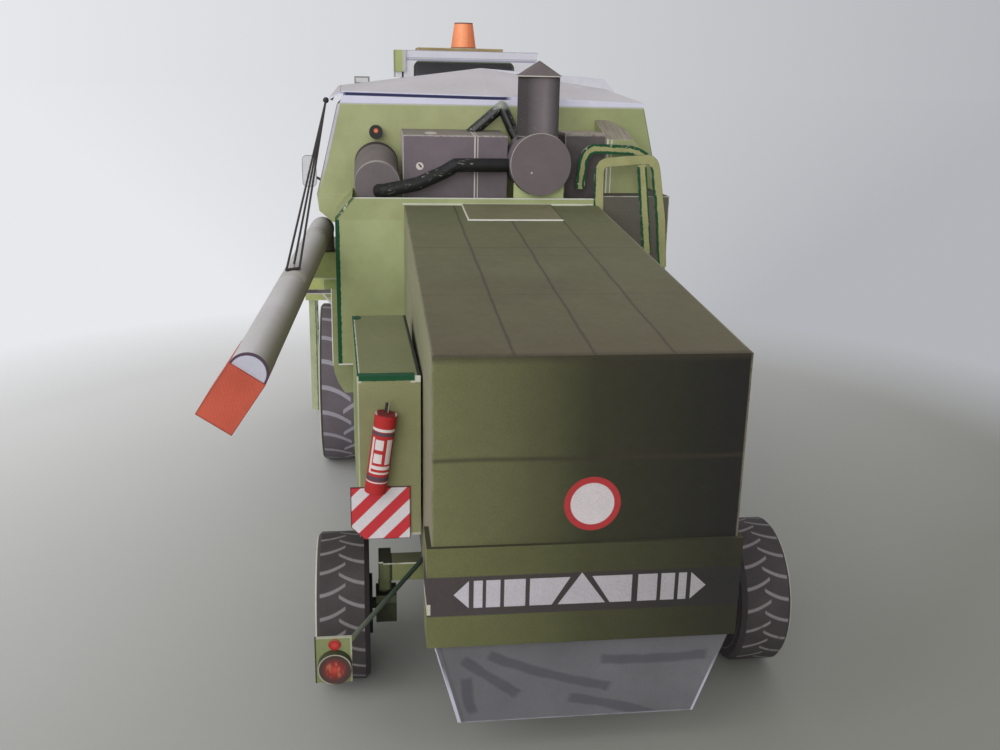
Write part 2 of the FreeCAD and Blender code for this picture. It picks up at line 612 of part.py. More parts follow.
def straw_hood():
    step = hood_foot_run + hood_step_run
    outer = prism("hood_outer", "side",
                  [(0, hood_rear_foot), (hood_foot_run, hood_rear_foot), (step, beam_top),
                   (bulkhead, beam_top), (bulkhead, hood_front_top), (0, hood_rear_top)],
                  -hood_half, hood_half * 2)
    below = hood_rear_foot - card
    inner = prism("hood_inner", "side",
                  [(card, below), (bulkhead + card, below), (bulkhead + card, hood_top_at(bulkhead + card) - card),
                   (card, hood_top_at(card) - card)],
                  card - hood_half, (hood_half - card) * 2)
    return node(cut("hood_shell", outer, inner), "straw_hood")


def hood_rear_lip():
    wide = hood_half + lip_card
    outer = block("lip_outer", (-wide, wide), (-lip_card, lip_run), (hood_rear_foot, lip_top))
    inner = block("lip_inner", (-hood_half, hood_half), (0, lip_run + card), (hood_rear_foot - card, lip_top + card))
    return node(cut("lip_shell", outer, inner), "hood_rear_lip")


def straw_apron():
    lap = hood_rear_foot + 3
    lean = apron_lean / (hood_rear_foot - apron_foot)
    top_station = card
    foot_station = top_station + lean * (lap - apron_foot)
    sheet_side = prism("apron_sheet", "side",
                       [(top_station, lap), (top_station + card, lap), (foot_station + card, apron_foot),
                        (foot_station, apron_foot)],
                       -apron_top_right, apron_top_right * 2)
    outline = prism("apron_outline", "back",
                    [(-apron_tab, lap + card), (-apron_tab, hood_rear_foot), (-apron_top_right, hood_rear_foot),
                     (-apron_foot_right, apron_foot), (apron_foot_left, apron_foot),
                     (apron_top_left, hood_rear_foot), (apron_tab, hood_rear_foot), (apron_tab, lap + card)],
                    0, foot_station + card * 2)
    return node(common("apron", sheet_side, outline), "straw_apron")


def hood_hatch():
    rear = bulkhead - hatch_run
    plate = prism("hatch", "side",
                  [(rear, hood_top_at(rear)), (bulkhead, hood_front_top), (bulkhead, hood_front_top + thin),
                   (rear, hood_top_at(rear) + thin)],
                  -hatch_right, hatch_right + hatch_left)
    return node(plate, "hood_hatch")


# ---------------------------------------------------------------- body
def threshing_case():
    return node(prism("case", "side",
                      [(case_rear, case_foot), (case_rear, case_rear_top), (bulkhead, case_rear_top),
                       (bulkhead, shoulder - card), (tank_rear, shoulder - card), (tank_rear, tank_foot),
                       (case_front, tank_foot), (case_front, case_foot)],
                      -case_half, case_half * 2), "threshing_case")


def bulkheads():
    """A left plate up to the deck and a right plate up to the screen box."""
    left = block("bulkhead_left", (hood_half, bulkhead_out), (bulkhead, bulkhead + card),
                 (bulkhead_foot, shoulder - card))
    right = block("bulkhead_right", (-bulkhead_out, -hood_half), (bulkhead, bulkhead + card),
                  (bulkhead_foot, screen_foot))
    return node(doc_compound("bulkhead_plates", left, right), "bulkheads")


def side_outline(rear_top):
    rear = bulkhead + card
    return [(rear, bulkhead_foot), (arch_rear, bulkhead_foot), (arch_rear + arch_slope, arch_top),
            (case_front, arch_top), (case_front, tank_foot), (tank_rear, tank_foot),
            (tank_rear, rear_top), (rear, rear_top)]


def side_case_left():
    return node(prism("left_case", "side", side_outline(shoulder - card), case_half, side_out - case_half),
                "side_case_left")


def side_case_right():
    return node(prism("right_case", "side", side_outline(screen_foot), -side_out, side_out - case_half),
                "side_case_right")


def arch_panel():
    """The card wall behind the front wheel: it steps out past the side case and hangs below it."""
    low = bulkhead_foot - arch_drop
    return prism("arch", "back",
                 [(case_half, low), (arch_out - 4.4, low), (arch_out - 2, low + 4), (arch_out - 0.6, low + 8),
                  (arch_out, low + 13), (arch_out, panel_top), (side_out, panel_top), (side_out, bulkhead_foot),
                  (case_half, bulkhead_foot)],
                 arch_station, card)


def engine_deck():
    outline = [(-deck_right, shoulder - card), (bulkhead_out, shoulder - card), (bulkhead_out, shoulder),
               (deck_left, deck_top), (-deck_right, deck_top)]
    whole = prism("deck_outer", "back", outline, bulkhead, tank_rear - bulkhead)
    hollow = block("deck_hollow", (-deck_right - card, deck_left), (bulkhead + card, tank_rear + card),
                   (deck_floor, deck_top + card))
    return node(cut("deck", whole, hollow), "engine_deck")


def screen_box():
    return node(block("screen", (-screen_out, -deck_right), (bulkhead, tank_rear), (screen_foot, screen_top)),
                "screen_box")


# ---------------------------------------------------------------- grain tank
def tank_outline(wall, top):
    """The tank's section; a wall of card shrinks it for the inside."""
    left = [(tank_foot_half - wall, tank_foot + wall), (tank_knee_half - wall, tank_knee + wall / 2),
            (tank_waist_half - wall, tank_waist), (tank_top_half - wall, tank_top)]
    if top is not None:
        left.append((tank_top_half - wall, top))
    return left + [(-x, z) for x, z in reversed(left)]


def grain_tank():
    outer = prism("tank_outer", "back", tank_outline(as_size(0), None), tank_rear, tank_front - tank_rear)
    inner = prism("tank_inner", "back", tank_outline(card, tank_top + card), tank_rear + card,
                  tank_front - tank_rear - card * 2)
    return node(cut("tank", outer, inner), "grain_tank")


def tank_cover(name, edge_station, ahead, right_rise):
    """A folded sheet from the tank's wall up to the meeting line, with a rim that stands on the wall."""
    low = tank_top + card
    ridge = cover_ridge - gap / 2 * ahead
    points = [spot(cover_left_half, edge_station, low + flap_left),
              spot(cover_peak_x, edge_station, low + flap_middle),
              spot(-tank_top_half, edge_station, low + flap_right),
              spot(-cover_right_half, ridge, tank_top + right_rise),
              spot(cover_peak_x, ridge, tank_top + cover_peak_rise),
              spot(cover_ridge_half, ridge, tank_top + cover_left_rise),
              spot(cover_hip_half, edge_station, low + cover_hip_rise),
              spot(cover_hip_half, ridge, low),
              spot(-tank_top_half, ridge, low)]
    triangles = [(0, 5, 4), (0, 4, 1), (1, 4, 3), (1, 3, 2), (5, 0, 6), (5, 6, 7), (3, 8, 2)]
    if ahead < 0:
        triangles = [(c, b, a) for a, b, c in triangles]
    sheet = folded_sheet(points, triangles, card)
    rim_start = edge_station if ahead > 0 else edge_station - card
    rim = prism(name + "_rim", "back",
                [(-tank_top_half, tank_top), (tank_top_half - card, tank_top), (cover_left_half, tank_top + flap_left),
                 (cover_peak_x, tank_top + flap_middle), (-tank_top_half, tank_top + flap_right)],
                rim_start, card)
    return joined(name, shaped(name + "_sheet", sheet), rim)


def tank_covers():
    rear = tank_cover("cover_rear", tank_rear, 1, cover_right_rise)
    front = tank_cover("cover_front", tank_front, -1, cover_front_rise)
    return node(doc_compound("covers", rear, front), "tank_covers")


# ---------------------------------------------------------------- engine and what stands round it
def engine_housing():
    return node(prism("engine", "side",
                      [(engine_rear, deck_floor), (tank_rear, deck_floor), (tank_rear, engine_top_front),
                       (engine_rear, engine_top)],
                      drum_x + drum_radius, engine_left - drum_x - drum_radius), "engine_housing")


def air_filter():
    start = spot(filter_x, filter_rear, filter_z)
    end = spot(filter_x, filter_front, filter_z + filter_rise)
    return node(shaped("filter", rod_shape(start, end, filter_radius)), "air_filter")


def intake_drum():
    return node(drum("intake", "ahead", (drum_x, drum_rear, drum_z), drum_radius, drum_length), "intake_drum")


def intake_stack():
    """The upright pipe on the drum, with its conical hat."""
    middle = drum_rear + drum_length / 2
    pipe = drum("stack_pipe", "z", (drum_x, middle, drum_z), stack_radius, stack_top - drum_z)
    hat = drum("hat", "z", (drum_x, middle, stack_top), hat_radius, hat_height, 0.3)
    body = drum("stack_room", "ahead", (drum_x, drum_rear, drum_z), drum_radius, drum_length)
    return node(cut("stack", joined("stack_whole", pipe, hat), body), "intake_stack")


def engine_hose():
    """Out of the air filter, slack at first, over a kink and level to the intake drum."""
    out = filter_rear - hose_radius
    start = spot(hose_start, filter_rear, hose_low)
    knee = spot(hose_start - hose_radius, out, hose_low + card / 2)
    sag = spot(hose_sag_x, out, hose_sag_z)
    rise = spot(hose_kink, out + card, hose_kink_z)
    level = spot(hose_level, out + card, drum_z - card)
    end = spot(drum_x + drum_radius, engine_rear - hose_radius - gap, drum_z - card)
    tube = bent_tube([start, knee, sag, rise, level, end], hose_radius)
    filter_room = rod_shape(spot(filter_x, filter_rear, filter_z),
                            spot(filter_x, filter_front, filter_z + filter_rise), filter_radius)
    drum_room = rod_shape(spot(drum_x, drum_rear, drum_z), spot(drum_x, drum_rear + drum_length, drum_z), drum_radius)
    return node(shaped("hose", tube.cut(filter_room).cut(drum_room)), "engine_hose")


def exhaust_pipe():
    """Up out of the engine housing, over a sharp bend, and down to the intake drum's front."""
    station = tank_rear - pipe_radius - pipe_gap
    drum_front = drum_rear + drum_length
    start = spot(pipe_x, station, engine_top - 1)
    bend = spot(drum_x + drum_radius, station, engine_top + pipe_rise)
    knee = spot(drum_x + drum_radius - pipe_run, station - 1, engine_top + 2)
    end = spot(drum_x + stack_radius / 2, drum_front, drum_z + stack_radius / 2)
    tube = bent_tube([start, bend, knee, end], pipe_radius)
    housing = Part.makeBox((engine_left - drum_x - drum_radius).number, (tank_rear - engine_rear).number,
                           (engine_top_front - deck_floor).number,
                           spot(drum_x + drum_radius, tank_rear, deck_floor))
    drum_room = rod_shape(spot(drum_x, drum_rear, drum_z), spot(drum_x, drum_front, drum_z), drum_radius)
    stack_room = rod_shape(spot(drum_x, drum_rear + drum_length / 2, drum_z),
                           spot(drum_x, drum_rear + drum_length / 2, stack_top), stack_radius)
    return node(shaped("exhaust", tube.cut(housing).cut(drum_room).cut(stack_room)), "exhaust_pipe")


def work_light():
    lamp = drum("light_can", "ahead", (filter_x, tank_rear - light_deep, engine_top), light_radius, light_deep)
    return node(lamp, "work_light")


def cooler_box():
    """It fills the corner between the intake drum and the screen box, and laps over the screen box."""
    left = drum_x - drum_radius
    return node(prism("cooler", "back",
                      [(-cooler_right, screen_top), (-deck_right, screen_top), (-deck_right, deck_floor),
                       (left, deck_floor), (left, cooler_top), (-cooler_right, cooler_top)],
                      cooler_rear, tank_rear - cooler_rear), "cooler_box")


def radiator_housing():
    side = prism("radiator_side", "side",
                 [(radiator_rear, screen_top), (tank_rear, screen_top), (tank_rear, radiator_high),
                  (radiator_rear, radiator_low)],
                 -radiator_right, radiator_right - cooler_right)
    plan = prism("radiator_plan", "top",
                 [(-cooler_right, radiator_rear), (-cooler_right, tank_rear), (-radiator_front_right, tank_rear),
                  (-radiator_right, radiator_rear)],
                 screen_top, radiator_high - screen_top)
    corner = prism("radiator_corner", "back",
                   [(radiator_slope - radiator_right, radiator_low), (-radiator_right, radiator_low - radiator_slope),
                    (-radiator_right - card, radiator_low - radiator_slope - card),
                    (-radiator_right - card, radiator_high + card), (radiator_slope - radiator_right, radiator_high + card)],
                   radiator_rear, tank_rear - radiator_rear)
    return node(cut("radiator", common("radiator_block", side, plan), corner), "radiator_housing")


def handrails():
    """A near and a far hoop of flat card on the right of the deck, joined at the outer corner."""
    near_station = bulkhead - card
    near = [(-rail_in, rail_seat), (-rail_in + card / 2, rail_top - 3), (-rail_in - card, rail_top - card),
            (-rail_in - card * 3, rail_top), (-rail_corner + 6.5, rail_far_top - card / 2),
            (-rail_corner + 1.7, rail_far_top), (-rail_corner, rail_far_top - 1.3),
            (-rail_corner - 1, rail_far_top - 4.7), (-rail_knee, rail_knee_z), (-rail_foot, rail_foot_z)]
    leg = [(-leg_top, rail_top), (-leg_top - card / 4, rail_top - 2), (-leg_foot, leg_foot_z)]
    far = [(-hoop_in, hoop_seat), (-hoop_in - card, rail_top), (-hoop_in - 2.1, hoop_top - 1.5),
           (-hoop_in - 4.5, hoop_top), (-hoop_run, hoop_top - card / 2), (-hoop_run - 3.1, hoop_top - 1.2),
           (-rail_corner + 1.1, rail_far_top)]
    near, leg, far = [[(as_size(x).number, as_size(z).number) for x, z in path] for path in (near, leg, far)]
    hoops = strip(near, rail_wide, card, near_station).fuse(strip(leg, rail_wide, card, near_station))
    hoops = hoops.fuse(strip(far, rail_wide, card, far_rail))
    wide = card.number * 3
    tie = Part.makeBox(wide, (far_rail - near_station).number, wide, spot(-rail_corner, far_rail, rail_top - card))
    hood_room = Part.makeBox((hood_half * 2).number, bulkhead.number, hood_front_top.number,
                             spot(-hood_half, bulkhead, 0))
    return node(shaped("rails", hoops.fuse(tie).removeSplitter().cut(hood_room)), "handrails")


# ---------------------------------------------------------------- side boxes, plates, extinguisher
def side_box():
    return prism("side_box", "top",
                 [(hood_half + side_box_gap, side_box_rear), (side_box_out, side_box_rear),
                  (side_box_out_front, side_box_front), (hood_half + side_box_gap_front, side_box_front)],
                 side_box_foot, side_box_top - side_box_foot)


def warning_plate():
    outer = side_box_out + 2.2
    inner = outer - plate_wide
    top = plate_foot + plate_high
    return prism("plate", "back",
                 [(inner, plate_foot), (outer - plate_corner, plate_foot), (outer, plate_foot + plate_corner),
                  (outer, top), (inner, top)],
                 side_box_rear - thin, thin)


def fire_extinguisher():
    lean = math.radians(bottle_lean.number)
    station = side_box_rear - thin - bottle_radius
    base = spot(bottle_x, station, bottle_foot)
    up = FreeCAD.Vector(-math.sin(lean), 0, math.cos(lean))
    bottle = Part.makeCylinder(bottle_radius.number, bottle_height.number, base, up)
    neck = Part.makeCylinder(0.5, 2.6, base + up * bottle_height.number, up)
    return node(shaped("bottle", bottle.fuse(neck)), "fire_extinguisher")


# ---------------------------------------------------------------- rear axle and wheels
def rear_axle_beam():
    front = beam_rear + beam_deep
    bar = block("beam_bar", (-beam_half, beam_half), (beam_rear, front), (beam_foot, beam_top))
    head_rear = beam_rear + card
    left = block("beam_head", (head_in, head_out), (head_rear, head_rear + head_deep), (head_foot, beam_top))
    right = mirrored("beam_head_right", left)
    bores = []
    for name, side in (("left", 1), ("right", -1)):
        bores.append(drum("beam_bore_" + name, "z", (kingpin_x * side, rear_axle, head_foot - 1),
                          kingpin_radius + fit, beam_top - head_foot - 1))
    whole = joined("beam_whole", bar, left, right)
    return node(cut("beam", whole, *bores), "rear_axle_beam")


def knuckle():
    rear = rear_axle - knuckle_deep / 2
    low = rear_radius - knuckle_high / 2
    high = rear_radius + knuckle_high / 2
    body = block("knuckle_body", (knuckle_in, knuckle_out), (rear, rear + knuckle_deep), (low, high))
    pin = drum("kingpin", "z", (kingpin_x, rear_axle, high - 1), kingpin_radius, beam_top - high - 2)
    collar = drum("kingpin_collar", "z", (kingpin_x, rear_axle, high - 1), kingpin_radius * 1.4,
                  head_foot - gap - high + 1)
    stub = drum("stub_axle", "x", (knuckle_out - 1, rear_axle, rear_radius), stub_radius,
                rear_wheel_in + rear_wheel_wide - rim_set_back - 2 - knuckle_out + 1)
    return joined("knuckle", body, pin, collar, stub)


def tyre(name, inner_face, width, radius, rim_radius, station):
    """A tyre of rolled card: a straight tread with a small chamfer at both edges."""
    core = drum(name + "_core", "x", (inner_face, station, radius), radius - tyre_chamfer, width)
    tread = drum(name + "_tread", "x", (inner_face + tyre_chamfer, station, radius), radius,
                 width - tyre_chamfer * 2)
    near = drum(name + "_near", "x", (inner_face, station, radius), radius - tyre_chamfer, tyre_chamfer, radius)
    far = drum(name + "_far", "x", (inner_face + width - tyre_chamfer, station, radius), radius, tyre_chamfer,
               radius - tyre_chamfer)
    whole = joined(name + "_whole", core, tread, near, far)
    room = drum(name + "_room", "x", (inner_face - 1, station, radius), rim_radius, width + 2)
    return cut(name, whole, room)


def rim(name, inner_face, width, radius, rim_radius, hub_radius, axle_radius, station):
    """A card disc set back in the tyre, with a hub on both sides and a blind bore for the axle."""
    disc_out = inner_face + width - rim_set_back
    disc = drum(name + "_disc", "x", (inner_face + 1, station, radius), rim_radius, disc_out - inner_face - 1)
    inner_hub = drum(name + "_inner_hub", "x", (inner_face - 0.8, station, radius), hub_radius, 2)
    cap = drum(name + "_cap", "x", (disc_out - 1, station, radius), hub_radius / 2, 2.6)
    whole = joined(name + "_whole", disc, inner_hub, cap)
    bore = drum(name + "_bore", "x", (inner_face - 2, station, radius), axle_radius + fit,
                disc_out - inner_face + 0.5)
    return cut(name, whole, bore)


def wheels():
    sets = (("rear", rear_wheel_in, rear_wheel_wide, rear_radius, rear_rim, rear_hub, stub_radius, rear_axle),
            ("front", front_wheel_in, front_wheel_wide, front_radius, front_rim, front_hub, spindle_radius,
             front_axle))
    for name, face, width, radius, rim_radius, hub_radius, axle_radius, station in sets:
        left_tyre = node(tyre(name + "_tyre", face, width, radius, rim_radius, station), name + "_tyre_left")
        left_rim = node(rim(name + "_rim", face, width, radius, rim_radius, hub_radius, axle_radius, station),
                        name + "_rim_left")
        node(mirrored(name + "_tyre_other", left_tyre), name + "_tyre_right")
        node(mirrored(name + "_rim_other", left_rim), name + "_rim_right")


def front_axle_beam():
    rear = front_axle - front_beam_deep / 2
    top = case_foot
    bar = block("front_bar", (-front_beam_half, front_beam_half), (rear, rear + front_beam_deep),
                (top - front_beam_high, top))
    drive_rear = front_axle - drive_deep / 2
    drive = block("final_drive", (case_half + 0.6, drive_out), (drive_rear, drive_rear + drive_deep),
                  (drive_foot, case_foot + 10))
    reach = front_wheel_in + front_wheel_wide - rim_set_back - 2
    spindle = drum("spindle", "x", (drive_out - 1, front_axle, front_radius), spindle_radius, reach - drive_out + 1)
    left = joined("drive_left", drive, spindle)
    return node(joined("front_axle", bar, left, mirrored("drive_right", left)), "front_axle_beam")


# ---------------------------------------------------------------- rear lamps
def rear_lamp_plate():
    """The plate with its reflector and the strut that carries it from the wrapped sheet."""
    plate = block("lamp_card", (lamp_in, lamp_out), (lamp_station, lamp_station + card), (lamp_foot, lamp_top))
    reflector = drum("reflector", "ahead", (lamp_x, lamp_station - thin, reflector_z), reflector_radius, thin)
    upper = spot(hood_half, strut_station, strut_top)
    lower = spot(lamp_in + 0.6, lamp_station + card / 2, lamp_top - 1.4)
    strut = shaped("lamp_strut", rod_shape(upper, lower, strut_radius))
    room = block("strut_room", (hood_half - 3, hood_half), (strut_station - 3, strut_station + 3),
                 (strut_top - 2, strut_top + 2))
    return cut("lamp_mount", joined("lamp_mount_whole", plate, reflector, strut), room)


def rear_lamp():
    return drum("lamp", "ahead", (lamp_x, lamp_station - lamp_deep, lamp_z), lamp_radius, lamp_deep)


# ---------------------------------------------------------------- unloading auger
def auger_axis():
    """Direction of the tube from its pivot to its spout."""
    out = math.radians(auger_out.number)
    down = math.radians(auger_droop.number)
    return FreeCAD.Vector(math.sin(out) * math.cos(down), math.cos(out) * math.cos(down), -math.sin(down))


def auger_at(run):
    return spot(auger_x, auger_station, auger_z) + auger_axis() * as_size(run).number


def stub_end():
    """Height where the turning stub stands on the foot."""
    return auger_z - stub_drop


def auger_tube():
    pivot = auger_at(0)
    tube = rod_shape(pivot, auger_at(auger_run), auger_radius)
    knee = Part.makeSphere(auger_radius.number, pivot)
    stub_foot = spot(auger_x, auger_station, stub_end())
    stub = rod_shape(stub_foot, pivot, auger_radius - 0.2)
    bore = rod_shape(stub_foot - FreeCAD.Vector(0, 0, 1), stub_foot + FreeCAD.Vector(0, 0, auger_pin_high.number + 0.5),
                     auger_pin + fit)
    eye_at = auger_at(eye_run)
    eye = rod_shape(eye_at + FreeCAD.Vector(0, 0, (auger_radius - eye_radius).number),
                    eye_at + FreeCAD.Vector(0, 0, (auger_radius + eye_high).number), eye_radius)
    return node(shaped("tube", tube.multiFuse([knee, stub, eye]).cut(bore)), "auger_tube")


def auger_foot():
    top = stub_end() - gap
    body = block("foot_body", (side_out, auger_x + foot_half), (auger_station - foot_half, auger_station + foot_half),
                 (top - foot_high, top))
    pin = drum("foot_pin", "z", (auger_x, auger_station, top - card), auger_pin, auger_pin_high + card + gap)
    return node(joined("foot", body, pin), "auger_foot")


def auger_spout():
    """A rolled box below the tube's end, open underneath. Its rear wall stands behind the tube's end."""
    along = auger_axis()
    frame = FreeCAD.Rotation(FreeCAD.Vector(0, 1, 0), along)
    half = spout_wide.number / 2
    wall = card.number
    outer = Part.makeBox(spout_wide.number, spout_long.number, spout_deep.number,
                         FreeCAD.Vector(-half, wall - spout_long.number, -spout_deep.number))
    inner = Part.makeBox(spout_wide.number - 2 * wall, spout_long.number - 2 * wall, spout_deep.number,
                         FreeCAD.Vector(-half + wall, 2 * wall - spout_long.number, -spout_deep.number - wall))
    shell = outer.cut(inner)
    room = Part.makeCylinder(auger_radius.number, spout_long.number * 1.5,
                             FreeCAD.Vector(0, -spout_long.number * 1.5, 0), FreeCAD.Vector(0, 1, 0))
    shell = shell.cut(room)
    end = auger_at(auger_run)
    placed = FreeCAD.Placement(end, frame.multiply(FreeCAD.Rotation(FreeCAD.Vector(0, 1, 0), -spout_roll.number)))
    shell.Placement = placed
    return node(shaped("spout", shell), "auger_spout")


def auger_threads():
    """Three taut threads from the knot at the tank's corner to the eye on the tube."""
    knot = spot(anchor_x, anchor_station, anchor_z)
    eye_at = auger_at(eye_run) + FreeCAD.Vector(0, 0, auger_radius.number + 1.2)
    threads = []
    for across, along in ((1.7, 2.0), (-0.3, 0), (-1.9, -0.6)):
        foot = eye_at + FreeCAD.Vector(across, along, -0.5 * abs(across))
        threads.append(rod_shape(knot, foot, thread_radius))
    loop = rod_shape(eye_at + FreeCAD.Vector(1.9, 2.0, -0.9), eye_at + FreeCAD.Vector(-2.1, -0.6, -0.9), loop_radius)
    ball = Part.makeSphere(knot_radius.number, knot)
    bundle = threads[0].multiFuse(threads[1:] + [loop, ball])
    tube = rod_shape(auger_at(0), auger_at(auger_run), auger_radius)
    eye = rod_shape(auger_at(eye_run), auger_at(eye_run) + FreeCAD.Vector(0, 0, (auger_radius + eye_high).number),
                    eye_radius)
    return node(shaped("threads", bundle.cut(tube).cut(eye)), "auger_threads")


def auger_rest():
    middle = rest_station + rest_deep / 2
    arm = block("rest_arm", (side_out, rest_out), (rest_station, rest_station + rest_deep), (rest_z, rest_z + rest_high))
    brace = shaped("rest_brace", rod_shape(spot(side_out, middle, rest_z - rest_brace),
                                           spot(rest_out - rest_brace + 1, middle, rest_z + rest_high / 3), loop_radius))
    room = block("rest_room", (side_out - 4, side_out), (middle - 4, middle + 4), (rest_z - rest_brace - 4, rest_z))
    return node(cut("rest", joined("rest_whole", arm, brace), room), "auger_rest")


# ---------------------------------------------------------------- cab and access
def cab_outline(wall):
    return [(cab_rear + wall, cab_floor + wall), (cab_front - cab_nose - wall, cab_floor + wall),
            (cab_front - wall, windscreen_sill), (cab_front - wall, cab_eaves), (cab_rear + wall, cab_eaves)]


def rounded_opening(name, x, station, z):
    """A box that is cut through a wall, with rounded corners. Its shortest or longest run goes through."""
    low = spot(x[0], station[1], z[0])
    high = spot(x[1], station[0], z[1])
    box = Part.makeBox(high.x - low.x, high.y - low.y, high.z - low.z, low)
    through_x = (high.y - low.y) > 10
    span = [(abs(e.Vertexes[0].X - e.Vertexes[1].X), abs(e.Vertexes[0].Y - e.Vertexes[1].Y)) for e in box.Edges]
    corners = [e for e, (dx, dy) in zip(box.Edges, span) if (dx if through_x else dy) > 0.1]
    return shaped(name, box.makeFillet(window_round.number, corners))


def cab_shell():
    outer = prism("cab_outer", "side", cab_outline(as_size(0)), -cab_right, cab_left + cab_right)
    inner = prism("cab_inner", "side",
                  [(s, z + card if z is cab_eaves else z) for s, z in cab_outline(card)],
                  card - cab_right, cab_left + cab_right - card * 2)
    back = rounded_opening("cab_back_window", (-rear_window_right, rear_window_left),
                           (cab_rear - card, cab_rear + card * 2), (window_sill, window_top))
    screen = rounded_opening("cab_windscreen", (window_frame - cab_right, cab_left - window_frame),
                             (cab_front - card * 2, cab_front + card), (windscreen_sill + card, windscreen_top))
    sides = rounded_opening("cab_side_windows", (-cab_right - card, cab_left + card),
                            (cab_rear + window_frame, cab_front - window_frame), (window_sill, window_top))
    return node(cut("cab", outer, inner, back, screen, sides), "cab_shell")


def cab_roof():
    return node(block("roof", (-cab_right - card, cab_left + card), (cab_rear, cab_front + roof_brow),
                      (cab_eaves, roof_top)), "cab_roof")


def cab_base():
    return node(block("base", (-cab_right, cab_left), (case_front, cab_front - cab_nose), (base_foot, cab_floor)),
                "cab_base")


def driver_seat():
    station = cab_rear + seat_gap
    floor = cab_floor + card
    sit = floor + seat_sit
    middle = (seat_out - seat_in) / 2
    pedestal = block("seat_post", (middle - post_half, middle + post_half),
                     (station + post_half, station + post_half * 3), (floor, sit - seat_thick))
    cushion = block("seat_cushion", (-seat_in, seat_out), (station, station + seat_long), (sit - seat_thick, sit))
    back = block("seat_back", (-seat_in, seat_out), (station, station + seat_back_thick), (sit, floor + seat_high))
    return node(joined("seat", pedestal, cushion, back), "driver_seat")


def steering_column():
    floor = cab_floor + card
    foot = spot(column_x, cab_front - column_front, floor)
    top = spot(column_x, cab_front - column_front - column_lean, floor + column_high)
    post = rod_shape(foot, top, column_radius)
    wheel = Part.makeTorus(wheel_radius.number, wheel_rim.number, top, top - foot)
    reach = FreeCAD.Vector(wheel_radius.number, 0, 0)
    spokes = rod_shape(top - reach, top + reach, spoke_radius)
    level = Part.makeBox(20, 20, 3, foot + FreeCAD.Vector(-10, -10, -3))
    return node(shaped("steering", post.multiFuse([wheel, spokes]).cut(level)), "steering_column")


def roof_pieces():
    node(block("hatch_on_roof", (-roof_hatch_right, roof_hatch_left), (roof_hatch_rear, roof_hatch_front),
               (roof_top, hatch_top)), "roof_hatch")
    node(drum("beacon_cone", "z", (beacon_x, beacon_station, hatch_top), beacon_radius, beacon_top - hatch_top,
              beacon_top_radius), "beacon")
    unit = block("side_unit", (cab_left + card, side_unit_out), (cab_rear, cab_rear + side_unit_long),
                 (side_unit_foot, roof_top))
    face = block("side_unit_face", (cab_left - side_unit_lap, side_unit_out), (cab_rear - card, cab_rear),
                 (side_unit_foot + side_unit_tip, roof_top))
    arm_top = side_unit_foot - side_lamp_high
    arm = block("lamp_arm", (cab_left, side_lamp_in + card), (cab_rear + card, cab_rear + card * 2), (arm_top - card, arm_top))
    lamp = block("arm_lamp_can", (side_lamp_in, side_lamp_out), (cab_rear, cab_rear + side_lamp_deep),
                 (arm_top - card, side_unit_foot))
    node(doc_compound("side_units", joined("side_unit_whole", unit, face), joined("side_lamp", arm, lamp)),
         "cab_side_unit")


def mirror(name, side, outer):
    """A rounded plate on a bent wire from the cab's side wall."""
    wide, tall, deep = mirror_wide.number, mirror_high.number, card.number
    low_x = outer.number - wide
    plate = Part.makeBox(wide, deep, tall, spot(low_x, mirror_station, mirror_foot) - FreeCAD.Vector(0, deep, 0))
    upright = [e for e in plate.Edges if abs(e.Vertexes[0].Y - e.Vertexes[1].Y) > deep / 2]
    plate = plate.makeFillet(mirror_round.number, upright)
    wall = cab_left if side > 0 else cab_right
    middle = spot(low_x + wide / 2, mirror_station + card * 1.5, mirror_foot + mirror_high * 0.4)
    knee = spot(low_x - 2, mirror_station + 3, mirror_foot + 3)
    cab_end = spot(wall, mirror_station + 6, mirror_foot + 12)
    wire = bent_tube([middle, knee, cab_end], mirror_wire)
    cab_room = Part.makeBox(wall.number, 30, 30, spot(0, mirror_station + 20, mirror_foot))
    shape = plate.fuse(wire).cut(cab_room)
    if side < 0:
        shape = shape.mirror(FreeCAD.Vector(0, 0, 0), FreeCAD.Vector(1, 0, 0))
    return shaped(name, shape)


def platform():
    floor = block("platform_floor", (cab_left, platform_out), (platform_rear + card, platform_front),
                  (platform_top - 2, platform_top))
    panel = block("platform_panel", (panel_in, platform_out), (platform_rear, platform_rear + card),
                  (panel_foot, panel_top))
    return node(joined("platform_whole", floor, panel), "platform_left")


def ladder():
    rear = platform_rear + card
    top = platform_top - 2
    out = ladder_in + ladder_wide
    pieces = [block("ladder_rear", (ladder_in, out), (rear, rear + card), (ladder_foot, top)),
              block("ladder_front", (ladder_in, out), (rear + ladder_long, rear + ladder_long + card),
                    (ladder_foot, top))]
    steps = 5
    for i in range(steps):
        z = ladder_foot + rung_first + rung_pitch * i
        pieces.append(block("rung_%d" % i, (ladder_in, out), (rear, rear + ladder_long + card), (z, z + card)))
    return node(joined("ladder_whole", *pieces), "ladder_left")


def fender():
    return block("fender", (side_out, fender_out), (fender_rear, platform_rear), (arch_top, fender_top))


